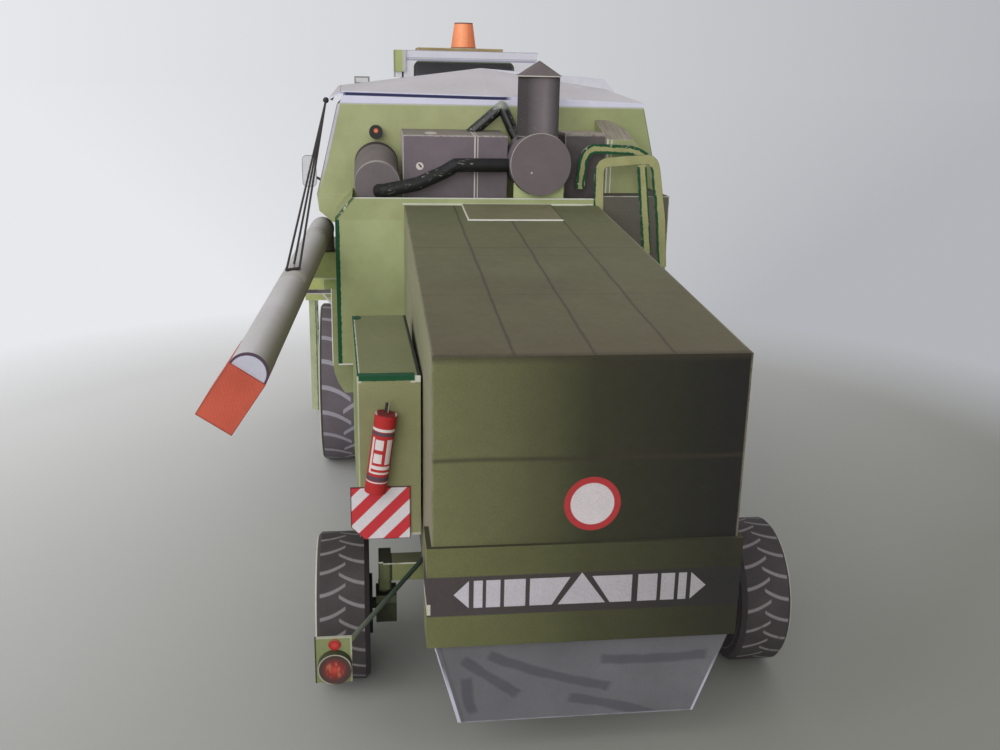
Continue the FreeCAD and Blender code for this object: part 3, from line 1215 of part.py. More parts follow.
# ---------------------------------------------------------------- feeder house
def feeder_house():
    slope_top = (feeder_mouth_top - feeder_rear_top) / (feeder_front - case_front)
    slope_foot = (feeder_mouth_foot - feeder_rear_foot) / (feeder_front - case_front)
    outer = prism("feeder_outer", "side",
                  [(case_front, feeder_rear_foot), (feeder_front, feeder_mouth_foot),
                   (feeder_front, feeder_mouth_top), (case_front, feeder_rear_top)],
                  -feeder_half, feeder_half * 2)
    past = feeder_front + card
    inner = prism("feeder_inner", "side",
                  [(case_front + card, feeder_rear_foot + slope_foot * card + card),
                   (past, feeder_mouth_foot + slope_foot * card + card),
                   (past, feeder_mouth_top + slope_top * card - card),
                   (case_front + card, feeder_rear_top + slope_top * card - card)],
                  card - feeder_half, (feeder_half - card) * 2)
    return node(cut("feeder", outer, inner), "feeder_house")


# ---------------------------------------------------------------- the whole machine
straw_hood()
hood_rear_lip()
straw_apron()
hood_hatch()
threshing_case()
bulkheads()
side_case_left()
side_case_right()
engine_deck()
screen_box()
grain_tank()
tank_covers()
engine_housing()
air_filter()
intake_drum()
intake_stack()
engine_hose()
exhaust_pipe()
work_light()
cooler_box()
radiator_housing()
handrails()
node(side_box(), "side_box")
node(warning_plate(), "warning_plate")
fire_extinguisher()
rear_axle_beam()
left_knuckle = node(knuckle(), "knuckle_left")
node(mirrored("knuckle_other", left_knuckle), "knuckle_right")
wheels()
front_axle_beam()
node(rear_lamp_plate(), "lamp_plate")
node(rear_lamp(), "rear_lamp")
auger_tube()
auger_foot()
auger_spout()
auger_threads()
auger_rest()
cab_shell()
cab_roof()
cab_base()
driver_seat()
steering_column()
roof_pieces()
node(doc_compound("mirror_pair", mirror("mirror_left", 1, mirror_in + mirror_wide),
                  mirror("mirror_right", -1, mirror_reach)), "mirrors")
platform()
ladder()
left_fender = fender()
node(doc_compound("fender_pair", left_fender, mirrored("fender_other", left_fender)), "fenders")
left_arch = arch_panel()
node(doc_compound("arch_pair", left_arch, mirrored("arch_other", left_arch)), "arch_panels")
feeder_house()

doc.recompute()

problems = [o.Name for o in doc.Objects if "Invalid" in o.State or "Error" in o.State]
problems += [n.Label for n in nodes if n.Shape.isNull() or not n.Shape.isValid()]
if problems:
    raise SystemExit("not built: " + ", ".join(problems))
os.makedirs("parts", exist_ok=True)
for piece in nodes:
    piece.Shape.exportStep("parts/%s.step" % piece.Label)
    box = piece.Shape.BoundBox
    print("%-22s %9.1f mm3  x %7.2f %7.2f  y %7.2f %7.2f  z %7.2f %7.2f" % (
        piece.Label, piece.Shape.Volume, box.XMin, box.XMax, box.YMin, box.YMax, box.ZMin, box.ZMax))
print(len(nodes), "nodes")
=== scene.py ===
# %% [markdown]
# # A card model of a combine harvester
# The real object is a paper model: printed sheets of card, cut out, folded and glued, with a few
# pieces coloured by hand with a felt pen.  Its shapes come ready made from the construction model,
# one mesh per piece.  What is left to do here is the printing, the raw pale edges of the cut card,
# the pen strokes, a few strips with soft folds, and the light.

# %% Modules and the packed model
import json
import math
import bpy
import numpy as np
from mathutils import Matrix, Vector

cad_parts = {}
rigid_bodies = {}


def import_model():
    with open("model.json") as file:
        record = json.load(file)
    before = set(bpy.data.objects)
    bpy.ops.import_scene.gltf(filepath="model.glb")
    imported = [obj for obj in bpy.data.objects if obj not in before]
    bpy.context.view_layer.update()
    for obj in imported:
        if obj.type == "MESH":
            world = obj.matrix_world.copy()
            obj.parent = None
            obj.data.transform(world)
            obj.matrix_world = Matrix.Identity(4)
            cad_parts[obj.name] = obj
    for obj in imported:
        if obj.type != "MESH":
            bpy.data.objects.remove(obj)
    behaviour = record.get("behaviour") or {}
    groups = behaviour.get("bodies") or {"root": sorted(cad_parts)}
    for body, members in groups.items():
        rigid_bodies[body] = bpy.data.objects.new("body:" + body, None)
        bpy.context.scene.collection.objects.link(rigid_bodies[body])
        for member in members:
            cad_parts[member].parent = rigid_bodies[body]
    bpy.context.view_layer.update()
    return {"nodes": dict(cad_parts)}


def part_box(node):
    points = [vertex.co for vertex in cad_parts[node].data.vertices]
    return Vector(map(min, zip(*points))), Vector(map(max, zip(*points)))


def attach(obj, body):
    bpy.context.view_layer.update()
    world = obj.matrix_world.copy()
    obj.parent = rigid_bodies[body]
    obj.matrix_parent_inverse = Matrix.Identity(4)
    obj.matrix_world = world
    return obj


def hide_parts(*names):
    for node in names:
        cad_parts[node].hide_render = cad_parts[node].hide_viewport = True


for leftover in list(bpy.data.objects):
    bpy.data.objects.remove(leftover)
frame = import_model()
nodes = frame["nodes"]
MM = 0.001
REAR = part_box("straw_hood")[1][1] / MM      # y of the hood's rear face, where stations start


def span(name):
    """Lowest and highest x, station and z of a piece in mm.  Stations run forwards from the hood's
    rear face, so they grow as y falls."""
    low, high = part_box(name)
    return ((low.x / MM, high.x / MM), (REAR - high.y / MM, REAR - low.y / MM), (low.z / MM, high.z / MM))


print("pieces in the model:", len(nodes))

# %% [markdown]
# ## Camera
# The camera stands behind the model and a little to its left, at the height of the cab, and looks
# slightly down and to the right.  Three angles could go straight into its rotation, but what they do
# then depends on their order.  A camera looks along its own -Z, so its matrix is built from three
# directions instead: right, up and backwards.  Each of them can be checked by itself.

# %% Camera
LENS, SENSOR = 37.44, 36.0
PITCH, YAW, ROLL = 16.07, 7.39, 1.15        # degrees down, to the machine's right, and about the view
CAMERA_X, CAMERA_BEHIND, CAMERA_Z = 47.74, 209.91, 157.22


def aim(pitch, yaw, roll):
    """Right, up and ahead of a camera.  Ahead starts along -Y, turns by yaw towards -X and by pitch
    downwards; right and up then turn about it by roll."""
    p, y, r = (math.radians(a) for a in (pitch, yaw, roll))
    ahead = np.array([-math.sin(y) * math.cos(p), -math.cos(y) * math.cos(p), -math.sin(p)])
    level = np.array([-math.cos(y), math.sin(y), 0.0])
    over = np.cross(level, ahead)
    return math.cos(r) * level + math.sin(r) * over, math.cos(r) * over - math.sin(r) * level, ahead


right, up, ahead = aim(PITCH, YAW, ROLL)
lens = bpy.data.cameras.new("camera")
lens.sensor_width, lens.lens, lens.clip_start = SENSOR, LENS, 0.01
camera = bpy.data.objects.new("camera", lens)
bpy.context.scene.collection.objects.link(camera)
turn = Matrix(np.stack([right, up, -ahead], axis=1).tolist()).to_4x4()
camera.matrix_world = Matrix.Translation((CAMERA_X * MM, (REAR + CAMERA_BEHIND) * MM, CAMERA_Z * MM)) @ turn
bpy.context.scene.camera = camera
print("camera in mm:", [round(v / MM, 1) for v in camera.location])

# %% [markdown]
# ## Materials written as sums
# A printed sheet is a drawing of lines, bands and discs.  It could be a picture laid on the piece,
# but a picture needs the piece unfolded and gets coarse close up.  Here each line, band or disc is a
# mask, a value from 0 to 1 worked out from the place on the piece, so it stays sharp and its place is
# a size in mm.  A small class wraps a socket, so that masks can be written as ordinary arithmetic,
# and a second class adds every other kind of node.

# %% A socket that does arithmetic
class Wire:
    """A value on its way through a material.  a + b adds a Math node and gives its result."""

    def __init__(self, board, socket):
        self.board = board
        self.socket = socket

    def maths(self, operation, *others):
        values = dict(enumerate((self,) + others))
        return self.board.node("ShaderNodeMath", {"operation": operation}, values)

    def __add__(self, other):
        return self.maths("ADD", other)

    def __sub__(self, other):
        return self.maths("SUBTRACT", other)

    def __rsub__(self, other):
        return (self * -1).maths("ADD", other)

    def __mul__(self, other):
        return self.maths("MULTIPLY", other)

    def __truediv__(self, other):
        return self.maths("DIVIDE", other)

    def __neg__(self):
        return self.maths("MULTIPLY", -1)

    def __abs__(self):
        return self.maths("ABSOLUTE")

    __radd__, __rmul__ = __add__, __mul__


def ink(red, green, blue):
    """A printed colour, given as it looks on a screen from 0 to 255, in a shader's linear values."""
    parts = np.array([red, green, blue]) / 255
    linear = np.where(parts <= 0.04045, parts / 12.92, ((parts + 0.055) / 1.055) ** 2.4)
    return (*linear.tolist(), 1.0)


print("a printed mid grey in a shader's values:", round(ink(128, 128, 128)[0], 3))

# %% A node tree written as sums
class Sheet:
    """A node tree that is written as sums.  Its values are wires."""

    def __init__(self, tree):
        self.tree = tree
        self.tree.nodes.clear()

    def node(self, kind, settings, values, output=0):
        """Add a node, set it up, then fill or link its sockets; gives the wire of one output."""
        made = self.tree.nodes.new(kind)
        for key, value in settings.items():
            setattr(made, key, value)
        for key, value in values.items():
            if isinstance(value, Wire):
                self.tree.links.new(value.socket, made.inputs[key])
            else:
                made.inputs[key].default_value = value
        return Wire(self, made.outputs[output]) if len(made.outputs) else None

    def parts(self, vector):
        outputs = self.node("ShaderNodeSeparateXYZ", {}, {0: vector}).socket.node.outputs
        return tuple(Wire(self, outputs[i]) for i in range(3))

    def vectors(self, operation, values, output=0):
        return self.node("ShaderNodeVectorMath", {"operation": operation}, values, output)

    def mix(self, mask, below, above):
        """The colour below, with the colour above laid over it where the mask is 1.  A colour is a
        wire, or three printed values, which ink makes into a shader's."""
        below, above = (ink(*c) if isinstance(c, tuple) and len(c) == 3 else c for c in (below, above))
        return self.node("ShaderNodeMix", {"data_type": "RGBA"}, {0: mask, 6: below, 7: above}, 2)

    def over(self, value, edge, soft=0.12):
        """0 where the value is below the edge, 1 above it, with a straight slope in between."""
        return self.node("ShaderNodeMapRange", {"clamp": True},
                         {0: value, 1: edge - soft / 2, 2: edge + soft / 2, 3: 0.0, 4: 1.0})

    def under(self, value, edge, soft=0.12):
        return 1 - self.over(value, edge, soft)

    def band(self, value, low, high, soft=0.12):
        """1 between two values."""
        return self.under(abs(value - (low + high) / 2), (high - low) / 2, soft)

    def line(self, value, at, wide=0.3, soft=0.15):
        return self.band(value, at - wide / 2, at + wide / 2, soft)

    def box(self, a, low_a, high_a, b, low_b, high_b, soft=0.12):
        return self.band(a, low_a, high_a, soft) * self.band(b, low_b, high_b, soft)

    def frame(self, a, low_a, high_a, b, low_b, high_b, wide=0.3):
        """The outline of a box, as wide as a pen stroke."""
        inner = self.box(a, low_a + wide, high_a - wide, b, low_b + wide, high_b - wide)
        return self.box(a, low_a, high_a, b, low_b, high_b) * (1 - inner)

    def either(self, *masks):
        total = masks[0]
        for mask in masks[1:]:
            total = total.maths("MAXIMUM", mask)
        return total

    def radius(self, a, centre_a, b, centre_b):
        da, db = a - centre_a, b - centre_b
        return (da * da + db * db).maths("SQRT")

    def repeat(self, value, pitch):
        """Distance from the nearest of many lines that are a pitch apart."""
        return abs((value / pitch).maths("FRACT") - 0.5) * pitch


print("a sheet knows:", ", ".join(name for name in vars(Sheet) if name[0] != "_"))

# %% A material under construction
SIDES = {"left": (1, 0, 0), "right": (-1, 0, 0), "rear": (0, 1, 0), "front": (0, -1, 0),
         "top": (0, 0, 1), "foot": (0, 0, -1)}


class Board(Sheet):
    """A material under construction.  It knows the place on the piece in mm: x to the machine's
    left, s forwards from the hood's rear face, z up from the table.  Its colour is the drawing as it
    stands so far."""

    def __init__(self, name):
        self.material = bpy.data.materials.new(name)
        self.material.use_nodes = True
        super().__init__(self.material.node_tree)
        self.made = {}
        self.colour = None
        place = self.node("ShaderNodeTexCoord", {}, {}, "Object")
        self.point = self.vectors("SCALE", {0: place, "Scale": 1 / MM})
        self.x, y, self.z = self.parts(self.point)
        self.s = REAR - y
        outwards = self.node("ShaderNodeNewGeometry", {}, {}, "Normal")
        turned = {"vector_type": "NORMAL", "convert_from": "WORLD", "convert_to": "OBJECT"}
        self.outwards = self.node("ShaderNodeVectorTransform", turned, {0: outwards})

    def along(self, direction, origin=(0, 0, 0)):
        """Distance in mm from an origin, measured along a direction of length 1."""
        away = self.vectors("SUBTRACT", {0: self.point, 1: origin})
        return self.vectors("DOT_PRODUCT", {0: away, 1: direction}, 1)

    def noise(self, size, detail=2.0, rough=0.5, stretch=(1, 1, 1)):
        """A cloudy value from 0 to 1 whose clouds are about as wide as the size, in mm."""
        key = (size, detail, rough, stretch)
        if key not in self.made:
            place = self.point
            if stretch != (1, 1, 1):
                place = self.vectors("MULTIPLY", {0: place, 1: stretch})
            clouds = {"Vector": place, "Scale": 1 / size, "Detail": detail, "Roughness": rough}
            self.made[key] = self.node("ShaderNodeTexNoise", {}, clouds)
        return self.made[key]

    def looks(self, side, cosine=0.62):
        """1 where the surface looks one way: the cosine of the angle between them is large."""
        return self.over(self.vectors("DOT_PRODUCT", {0: self.outwards, 1: SIDES[side]}, 1), cosine, 0.1)

    def facing(self, *sides):
        """1 on faces that look one of these ways."""
        for side in sides:
            if side not in self.made:
                self.made[side] = self.looks(side)
        return self.either(*[self.made[side] for side in sides])

    rear = property(lambda self: self.facing("rear"))
    top = property(lambda self: self.facing("top"))
    sides = property(lambda self: self.facing("left", "right"))

    def patches(self, size, edge, soft):
        """1 in the thick parts of a fine cloud, 0 in its thin parts."""
        return self.over(self.noise(size, 3), edge, soft)

    def uneven(self, size, light, deep, soft=0.4):
        """One printed colour with clouds of a second one, about as wide as the size in mm."""
        return self.mix(self.patches(size, 0.5, soft), light, deep)

    def lay(self, mask, colour):
        """Lay a colour over the drawing where the mask is 1."""
        self.colour = self.mix(mask, self.colour, colour)

    def pen(self, value, low, high, wander=0.5):
        """A felt pen's stroke: a band whose edges wander by a part of a millimetre."""
        return self.band(value + (self.noise(1.6, 3) - 0.5) * wander * 2, low, high, 0.14)


print("a board also knows:", ", ".join(name for name in vars(Board) if name[0] != "_"))

# %% [markdown]
# ## Printed card
# Every sheet has the same surface: matt card, a little fibrous, with a fine print screen that makes
# its colour slightly uneven, and rubbed pale wherever it is folded.  The drawing on it differs from
# piece to piece.  A complete material for each piece would repeat the card dozens of times.  So the
# finish is one function, and each drawing is another one that it is handed: it gives the board a
# first colour and lays others over it, one mask after another.

# %% Printed card
PAPER = (212, 211, 205)
DULL_PAPER = (168, 166, 158)
SHADE_LINE = (48, 46, 42)
GRAINS = ((0.32, 0.8, 0.72), (3.2, 0.6, 0.16), (11, 0.6, 0.24))      # size in mm, roughness and strength
FIBRE_HEIGHT, FIBRE_STRENGTH = 0.2 * MM, 0.25


def printed(name, drawing, matt=0.8, screen=1.0, coat=0.0):
    """A material of printed card.  The drawing lays its colours on a board.

    Print screen: the colour goes up and down with three clouds, one as fine as the print's dots, one
    as wide as a pen and one as wide as a fingertip.  Fibre: a bump of fine and of coarse noise."""
    board = Board(name)
    drawing(board)
    tone = 1
    for size, rough, strength in GRAINS:
        tone = tone + (board.noise(size, 3, rough) - 0.5) * (strength * screen)
    colour = board.vectors("SCALE", {0: board.colour, "Scale": tone})
    rough = board.noise(2.5) * 0.14 + (matt - 0.07)
    height = board.noise(0.25, 2, 0.6) * 0.35 + board.noise(3.5) * 0.65
    fibre = {"Strength": FIBRE_STRENGTH, "Distance": FIBRE_HEIGHT, "Height": height}
    shader = board.node("ShaderNodeBsdfPrincipled", {}, {
        "Base Color": colour, "Roughness": rough, "Normal": board.node("ShaderNodeBump", {}, fibre),
        "Specular IOR Level": 0.3, "Coat Weight": coat, "Coat Roughness": 0.3})
    board.node("ShaderNodeOutputMaterial", {}, {0: shader})
    return board.material


def dress(name, drawing, *pieces, **finish):
    """Print a sheet and give it to pieces of the packed model."""
    material = printed(name, drawing, **finish)
    for piece in pieces:
        for held in nodes[piece].material_slots:
            held.material = material
    print(name, "on", ", ".join(pieces))


def folds(b, name, wide=0.3):
    """Rubbed folds of a box-shaped piece: 1 where two of its six sides are near at once."""
    near = []
    for value, (low, high) in zip((b.x, b.s, b.z), span(name)):
        near.append(b.over(abs(value - (low + high) / 2), (high - low) / 2 - wide, 0.16))
    fold = b.either(near[0] * near[1], near[1] * near[2], near[2] * near[0])
    return fold * b.patches(3, 0.4, 0.3)


def green_card(b, light=(152, 162, 106), deep=(134, 145, 88)):
    """The light green of most sheets, uneven as an old printer leaves it."""
    return b.uneven(24, light, deep)


print("grains of the print in mm:", [size for size, rough, strength in GRAINS])

# %% [markdown]
# ## Straw hood
# The biggest sheet of the model is a box with a sloping top, printed in dull greens.  Three dark
# lines run along its top, faint creases cross it, and one line crosses its rear.  A blank round sign
# with a red ring sits below that line.  Its rear and top are painted in darker greens than the body,
# a painted shade, and the rear gets darker still towards the machine's right, where less light falls.
# The sign's red and white are painted darker with the rear, and the fold between top and rear carries
# a painted shade.  Inside, the sheet is plain card.  Lines and sign could be thin pieces laid on the
# box, but print has no thickness, so they are masks: a line is a narrow band of x, station or z, and
# the sign is a distance from its centre.

# %% Straw hood
SEAM = (58, 60, 42)
# The sign's red and white are painted darker than fresh print, a painted shade of the hood's rear.
SIGN_RED = (158, 48, 50)
SIGN_WHITE = (190, 182, 184)
PEN_GREEN = (18, 72, 44)
HOOD_RIBS = (-17.5, 0, 17.5)
HOOD_CREASES = ((47, 0.5), (88, 0.4))               # station and line width
HOOD_PANEL_Z, HOOD_PANEL_STATIONS = (73, 92), (54, 108)
HOOD_SEAM_Z = 77
HOOD_CUT_EDGE = 161.3               # station where the pale cut edge of the top starts
HOOD_WALL = 34.6                    # x where the inside of the hood ends and its side walls begin
SIGN_X, SIGN_Z, SIGN_RING, SIGN_DISC = -0.8, 66.1, 6.4, 4.95


def shaded(b, right, middle, left):
    """A painted shade: a colour that goes from the machine's right over the middle to its left, in two
    soft steps, darker where less light falls.
    """
    return b.mix(b.over(b.x, 18, 36), b.mix(b.over(b.x, -8, 46), right, middle), left)


def hood_drawing(b):
    top, rear, side = b.top, b.rear, b.sides
    wander = (b.noise(16) - 0.5) * 0.8
    # Painted shade: the rear's greens are darker than the body's and darken further towards the machine's
    # right.
    rear_green = shaded(b, (25, 24, 20), (54, 54, 35), (104, 105, 71))
    side_green = b.mix(b.over(b.z + b.s * 0.15, 80, 60), (139, 131, 114), (138, 143, 104))
    # Painted shade: the top is printed in darker greens than the body.
    top_green = b.uneven(30, (87, 83, 62), (96, 93, 69), 0.45)
    top_green = b.mix(b.under(b.s, 34, 80) * 0.85, top_green, (82, 75, 57))
    b.colour = b.mix(side, b.mix(top, rear_green, top_green), side_green)
    ribs = b.either(*[b.line(b.x + wander, at, 0.55, 0.6) for at in HOOD_RIBS]) * top
    creases = b.either(*[b.line(b.s + wander, at, wide, 0.6) for at, wide in HOOD_CREASES]) * top
    seam = b.line(b.z + wander, HOOD_SEAM_Z, 0.8, 0.9) * rear
    panel = b.either(*[b.line(b.z, at) for at in HOOD_PANEL_Z],
                     *[b.line(b.s, at) for at in HOOD_PANEL_STATIONS]) * side
    crease = b.line(b.s + wander, 97.5, 0.8, 0.8) * top
    b.lay(b.over(b.s, 100, 90) * top * 0.7, (92, 96, 68))
    b.lay(b.either(ribs * 0.8, creases * 0.3, crease * 0.4), (54, 45, 40))
    b.lay(panel * 0.6, SEAM)
    b.lay(seam * 0.75, (48, 42, 32))
    reach = b.radius(b.x, SIGN_X, b.z, SIGN_Z)
    b.lay(b.under(reach, SIGN_RING, 0.2) * rear, SIGN_RED)
    b.lay(b.under(reach, SIGN_DISC, 0.2) * rear, SIGN_WHITE)
    rubbed = b.over(abs(b.x), HOOD_WALL, 0.3) * b.patches(4, 0.35, 0.3)
    b.lay(rubbed * 0.5, (136, 130, 112))
    # Painted shade: a soft dark band along the fold between the top and the rear.
    fold_shade = b.either(b.under(b.s, 1.4, 2.0) * top, b.over(b.z, 99.2, 1.4) * rear)
    b.lay(fold_shade * 0.6, (52, 45, 34))
    b.lay(b.over(b.s, HOOD_CUT_EDGE, 0.3) * top * b.over(b.x, -30, 2), (186, 186, 172))
    inside = b.either(b.facing("front"), b.facing("foot"), b.under(abs(b.x), HOOD_WALL, 0.1) * side)
    b.lay(inside, PAPER)


dress("hood_print", hood_drawing, "straw_hood")

# %% [markdown]
# ## The sheet round the hood's rear
# It carries a dark band with pale bars, a blank triangle in the middle and an arrowhead at each end.
# Shapes cut out and laid on the sheet would each need a mesh.  As masks they are short: an upright
# bar is two values of x, and a slanting edge is a straight line, where height is traded against
# width.

# %% Rear sheet
BAND_LOW, BAND_HIGH = 40.3, 50.0
BAR_LOW, BAR_HIGH = 42.2, 48.9
BARS = ((23.6, 25.6), (19.6, 22.8), (13.9, 18.7), (-16.5, -12), (-20.6, -17.4), (-23.4, -21.5))
ARROWS = ((30.1, 26.7, 1), (-28.0, -24.4, -1))      # tip, base and the way each arrowhead points


def lip_drawing(b):
    height = b.z - BAR_LOW
    bars = b.either(*[b.band(b.x, low, high) for low, high in BARS])
    left = b.band(b.x, 7.8, 12.9) + b.band(b.x, 3.7, 7.8) * b.over(b.x + height * 0.61, 7.8)
    inner = b.band(b.x, -10.6, -5.6) + b.band(b.x, -5.6, -1.3) * b.under(b.x - height * 0.64, -5.6)
    signs = b.either(bars, left, inner) * b.band(b.z, BAR_LOW, BAR_HIGH)
    middle = (BAR_LOW + BAR_HIGH) / 2
    for tip, base, way in ARROWS:
        slope = abs(tip - base) / (BAR_HIGH - middle)
        reach = (tip - b.x) * way - abs(b.z - middle) * slope
        signs = b.either(signs, b.over(reach, 0) * b.over(b.x * way, base * way))
    triangle = b.over(6.4 - height * 0.69 - b.x, 0) * b.over(b.x + 4.5 - height * 0.72, 0)
    signs = b.either(signs, triangle * b.band(b.z, BAR_LOW, BAND_HIGH))
    # Painted shade: the sheet darkens towards the machine's right, as the hood's rear does.
    b.colour = shaded(b, (38, 38, 26), (70, 71, 45), (96, 98, 63))
    b.lay(b.sides, green_card(b, (122, 124, 84), (110, 113, 74)))
    # Painted light: the band and its signs are lighter towards the machine's left.
    lit = b.over(b.x, 0, 60)
    b.lay(b.band(b.z, BAND_LOW, BAND_HIGH, 0.25), b.mix(lit, (36, 35, 34), (66, 60, 59)))
    b.lay(signs * b.rear, b.mix(lit, (146, 142, 144), (178, 174, 181)))
    cut = b.box(abs(b.x), 35.3, 37, b.z, 40.8, 43.4) * b.over(b.x, 0)
    b.lay(b.either(b.facing("foot", "front"), cut), (176, 174, 162))
    # Painted shadow: the lip's top face is painted dark, under the hood's rear.
    b.lay(b.top, (56, 55, 40))


dress("lip_print", lip_drawing, "hood_rear_lip")

# %% [markdown]
# ## Straw apron
# The apron below the hood was brushed grey by hand over pale card, and its slanting edges show the
# card.  Noise alone would give clouds and no strokes, so each stroke is placed: it is a band round a
# bent line, and noise makes its width wander.

# %% Straw apron
# Each stroke: x and z of its middle, degrees, half its length, bend.
STROKES = ((21.0, 21.9, 39, 8.5, 0.004), (7.2, 22.1, 20, 15.6, 0.004), (-17.9, 25.2, 0, 12.8, 0.004),
           (25.6, 16.8, 79, 5.2, 0.02), (-9.5, 11.8, 17, 11.8, -0.004))
APRON_FOOT, APRON_LEFT, APRON_RIGHT = 9.0, 28.4, 29.1
APRON_SLANT_LEFT, APRON_SLANT_RIGHT = (34.6 - 28.4) / 23.5, (35.6 - 29.1) / 23.5


def apron_drawing(b):
    b.colour = b.uneven(13, (104, 103, 107), (94, 93, 97), 0.5)
    for centre, height, slope, reach, bend in STROKES:
        way = math.radians(slope)
        run = (b.x - centre) * math.cos(way) + (b.z - height) * math.sin(way)
        path = (b.z - height) * math.cos(way) - (b.x - centre) * math.sin(way) + (30 - run * run) * bend
        wide = 1.3 + (b.noise(4, 3) - 0.5) * 1.2
        b.lay(b.under(abs(path) - wide, 0, 0.7) * b.under(abs(run), reach, 1.2) * 0.6, (68, 66, 72))
    left = b.x - (b.z - APRON_FOOT) * APRON_SLANT_LEFT - APRON_LEFT
    right = -b.x - (b.z - APRON_FOOT) * APRON_SLANT_RIGHT - APRON_RIGHT
    low = b.under(b.z, 22, 8)
    edge = b.either(b.over(left, -0.8, 0.2) * low, b.over(right, -0.6, 0.2) * low * 0.8,
                    b.over(left, -0.3, 0.15))
    b.lay(edge, (182, 183, 196))
    b.lay(b.under(b.z, APRON_FOOT + 0.3, 0.2) * b.over(b.noise(5), 0.4, 0.3) * 0.7, (150, 150, 158))
    # Painted shade: darker at the apron's top under the hood's lip, and along a crease inside its left edge.
    crease = b.either(b.band(left, -1.7, -1.1, 0.5), b.over(b.z, 31.3, 1.5) * 0.6)
    b.lay(crease * 0.35, (70, 68, 72))
    b.lay(b.facing("front", "foot"), PAPER)


dress("apron_print", apron_drawing, "straw_apron", screen=0.6)

# %% [markdown]
# ## Walls behind the body
# The light green wall on both sides of the hood has its outer edge gone over with a dark green felt
# pen, because the white core of cut card would show there.  Its foot was left white.  A clean band
# would look printed, so noise shifts the place a little before the band is drawn, and the stroke's
# edges wander as a hand's do.

# %% Bulkheads, arch panels and hatch
WALL_OUT = span("bulkheads")[0][1]


def wall_drawing(b):
    b.colour = green_card(b, (163, 170, 126), (150, 157, 112))
    # Painted shade: the wall darkens towards its foot.
    b.lay(b.under(b.z, 84, 26) * 0.35, (112, 116, 72))
    stroke = b.pen(abs(b.x), WALL_OUT - 1.5, WALL_OUT + 1)
    b.lay(stroke * b.over(b.x, 0), PEN_GREEN)
    outer = b.line(b.x, -(WALL_OUT - 0.2), 0.5)
    b.lay(b.either(b.under(b.z, 54.5, 0.2), outer), PAPER)
    b.lay(b.facing("left") * b.over(b.x, 0), PEN_GREEN)
    b.lay(b.facing("foot", "front", "right"), PAPER)


def arch_drawing(b):
    b.colour = green_card(b, (142, 146, 106), (122, 126, 88))
    b.lay(b.over(abs(b.x), 61.5, 0.15), PAPER)
    b.lay(b.facing("front", "foot", "left", "right"), PAPER)


def hatch_drawing(b):
    b.colour = b.uneven(12, (112, 108, 84), (102, 99, 74))
    (right_edge, left_edge), (rear_edge, _), _ = span("hood_hatch")
    edge = b.either(b.over(b.x, left_edge - 0.45, 0.2), b.under(b.s, rear_edge + 0.5, 0.25))
    b.lay(edge, (188, 186, 172))
    b.lay(b.under(b.x, right_edge + 0.3, 0.15), SEAM)
    b.lay(b.facing("rear", "left"), PAPER)


dress("wall_print", wall_drawing, "bulkheads")
dress("arch_print", arch_drawing, "arch_panels")
dress("hatch_print", hatch_drawing, "hood_hatch")

# %% [markdown]
# ## Body sides
# The long sides of the body show printed covers: outlined doors with rows of louvres, and a row of
# round fixings.  On a full-sized machine they are pressed or cut, but a card model only prints them,
# so the walls stay flat and the covers are masks.  Outlines are boxes minus smaller boxes, louvres
# repeat at a fixed pitch.

# %% Body sides, threshing case and feeder house
LOUVRE = 2.2
DOOR_TOP, DOOR_WIDE = 99, 24
DOORS = ((166, 73), (207, 82), (234, 82))       # station of each door's near edge, z of its foot


def louvres(b, value, pitch=LOUVRE, share=0.32):
    return b.under(b.repeat(value, pitch), pitch * share / 2, 0.2)


def side_drawing(b):
    b.colour = green_card(b)
    b.lay(b.under(b.z, 74, 14) * 0.4, (104, 112, 68))
    doors = b.either(*[b.frame(b.s, ahead, ahead + DOOR_WIDE, b.z, foot, DOOR_TOP) for ahead, foot in DOORS])
    grille = b.box(b.s, 210, 228, b.z, 85, 96) * louvres(b, b.z)
    fixings = b.under(b.radius(b.repeat(b.s, 8), 0, b.z, 104.5), 0.5)
    b.lay(b.either(doors, grille) * b.sides * 0.85, SEAM)
    b.lay(fixings * b.sides, (176, 180, 150))
    handle = b.box(b.s, 186.5, 188, b.z, 84, 88) * b.sides
    b.lay(handle, SHADE_LINE)
    cut = b.either(b.facing("foot"), b.over(abs(b.x), 58.1, 0.1) * b.facing("rear", "front"))
    b.lay(cut, PAPER)


def case_drawing(b):
    b.colour = b.uneven(20, (84, 92, 56), (70, 78, 46))
    lines = b.either(b.line(b.z, 62), b.line(b.z, 90), b.line(b.repeat(b.s, 34), 0.2))
    b.lay(lines * b.sides * 0.7, (40, 44, 28))
    b.lay(folds(b, "threshing_case") * 0.6, DULL_PAPER)


def feeder_drawing(b):
    """The feeder house slopes, so its cross lines follow the distance along the slope."""
    b.colour = green_card(b, (146, 156, 100), (126, 136, 80))
    ribs = b.line(b.repeat(b.s - b.z * 0.4, 15), 0.2, 0.35)
    edges = b.over(abs(b.x), 21.6, 0.15)
    b.lay(b.either(ribs * 0.8, b.line(abs(b.x), 15) * b.facing("top", "foot")), SEAM)
    b.lay(b.either(edges * 0.5, b.over(b.s, 340.4)), PAPER)
    inside = b.under(abs(b.x), 21.5, 0.1) * b.sides
    b.lay(inside, DULL_PAPER)


dress("side_print", side_drawing, "side_case_left", "side_case_right")
dress("case_print", case_drawing, "threshing_case")
dress("feeder_print", feeder_drawing, "feeder_house")

# %% [markdown]
# ## Engine deck and screen box
# The strip round the deck is green between two white lines.  At its right the strip meets a grey box
# that stands for the radiator's dust screen, printed with a fine cross hatch.  A net of wires would
# be thousands of faces, so the hatch is drawn as on the card, with two sets of slanting lines.

# %% Engine deck and screen box
DECK_TOP = span("engine_deck")[2][1]
DECK_SLANT = 0.83                   # how far its left end moves inwards for each mm of height


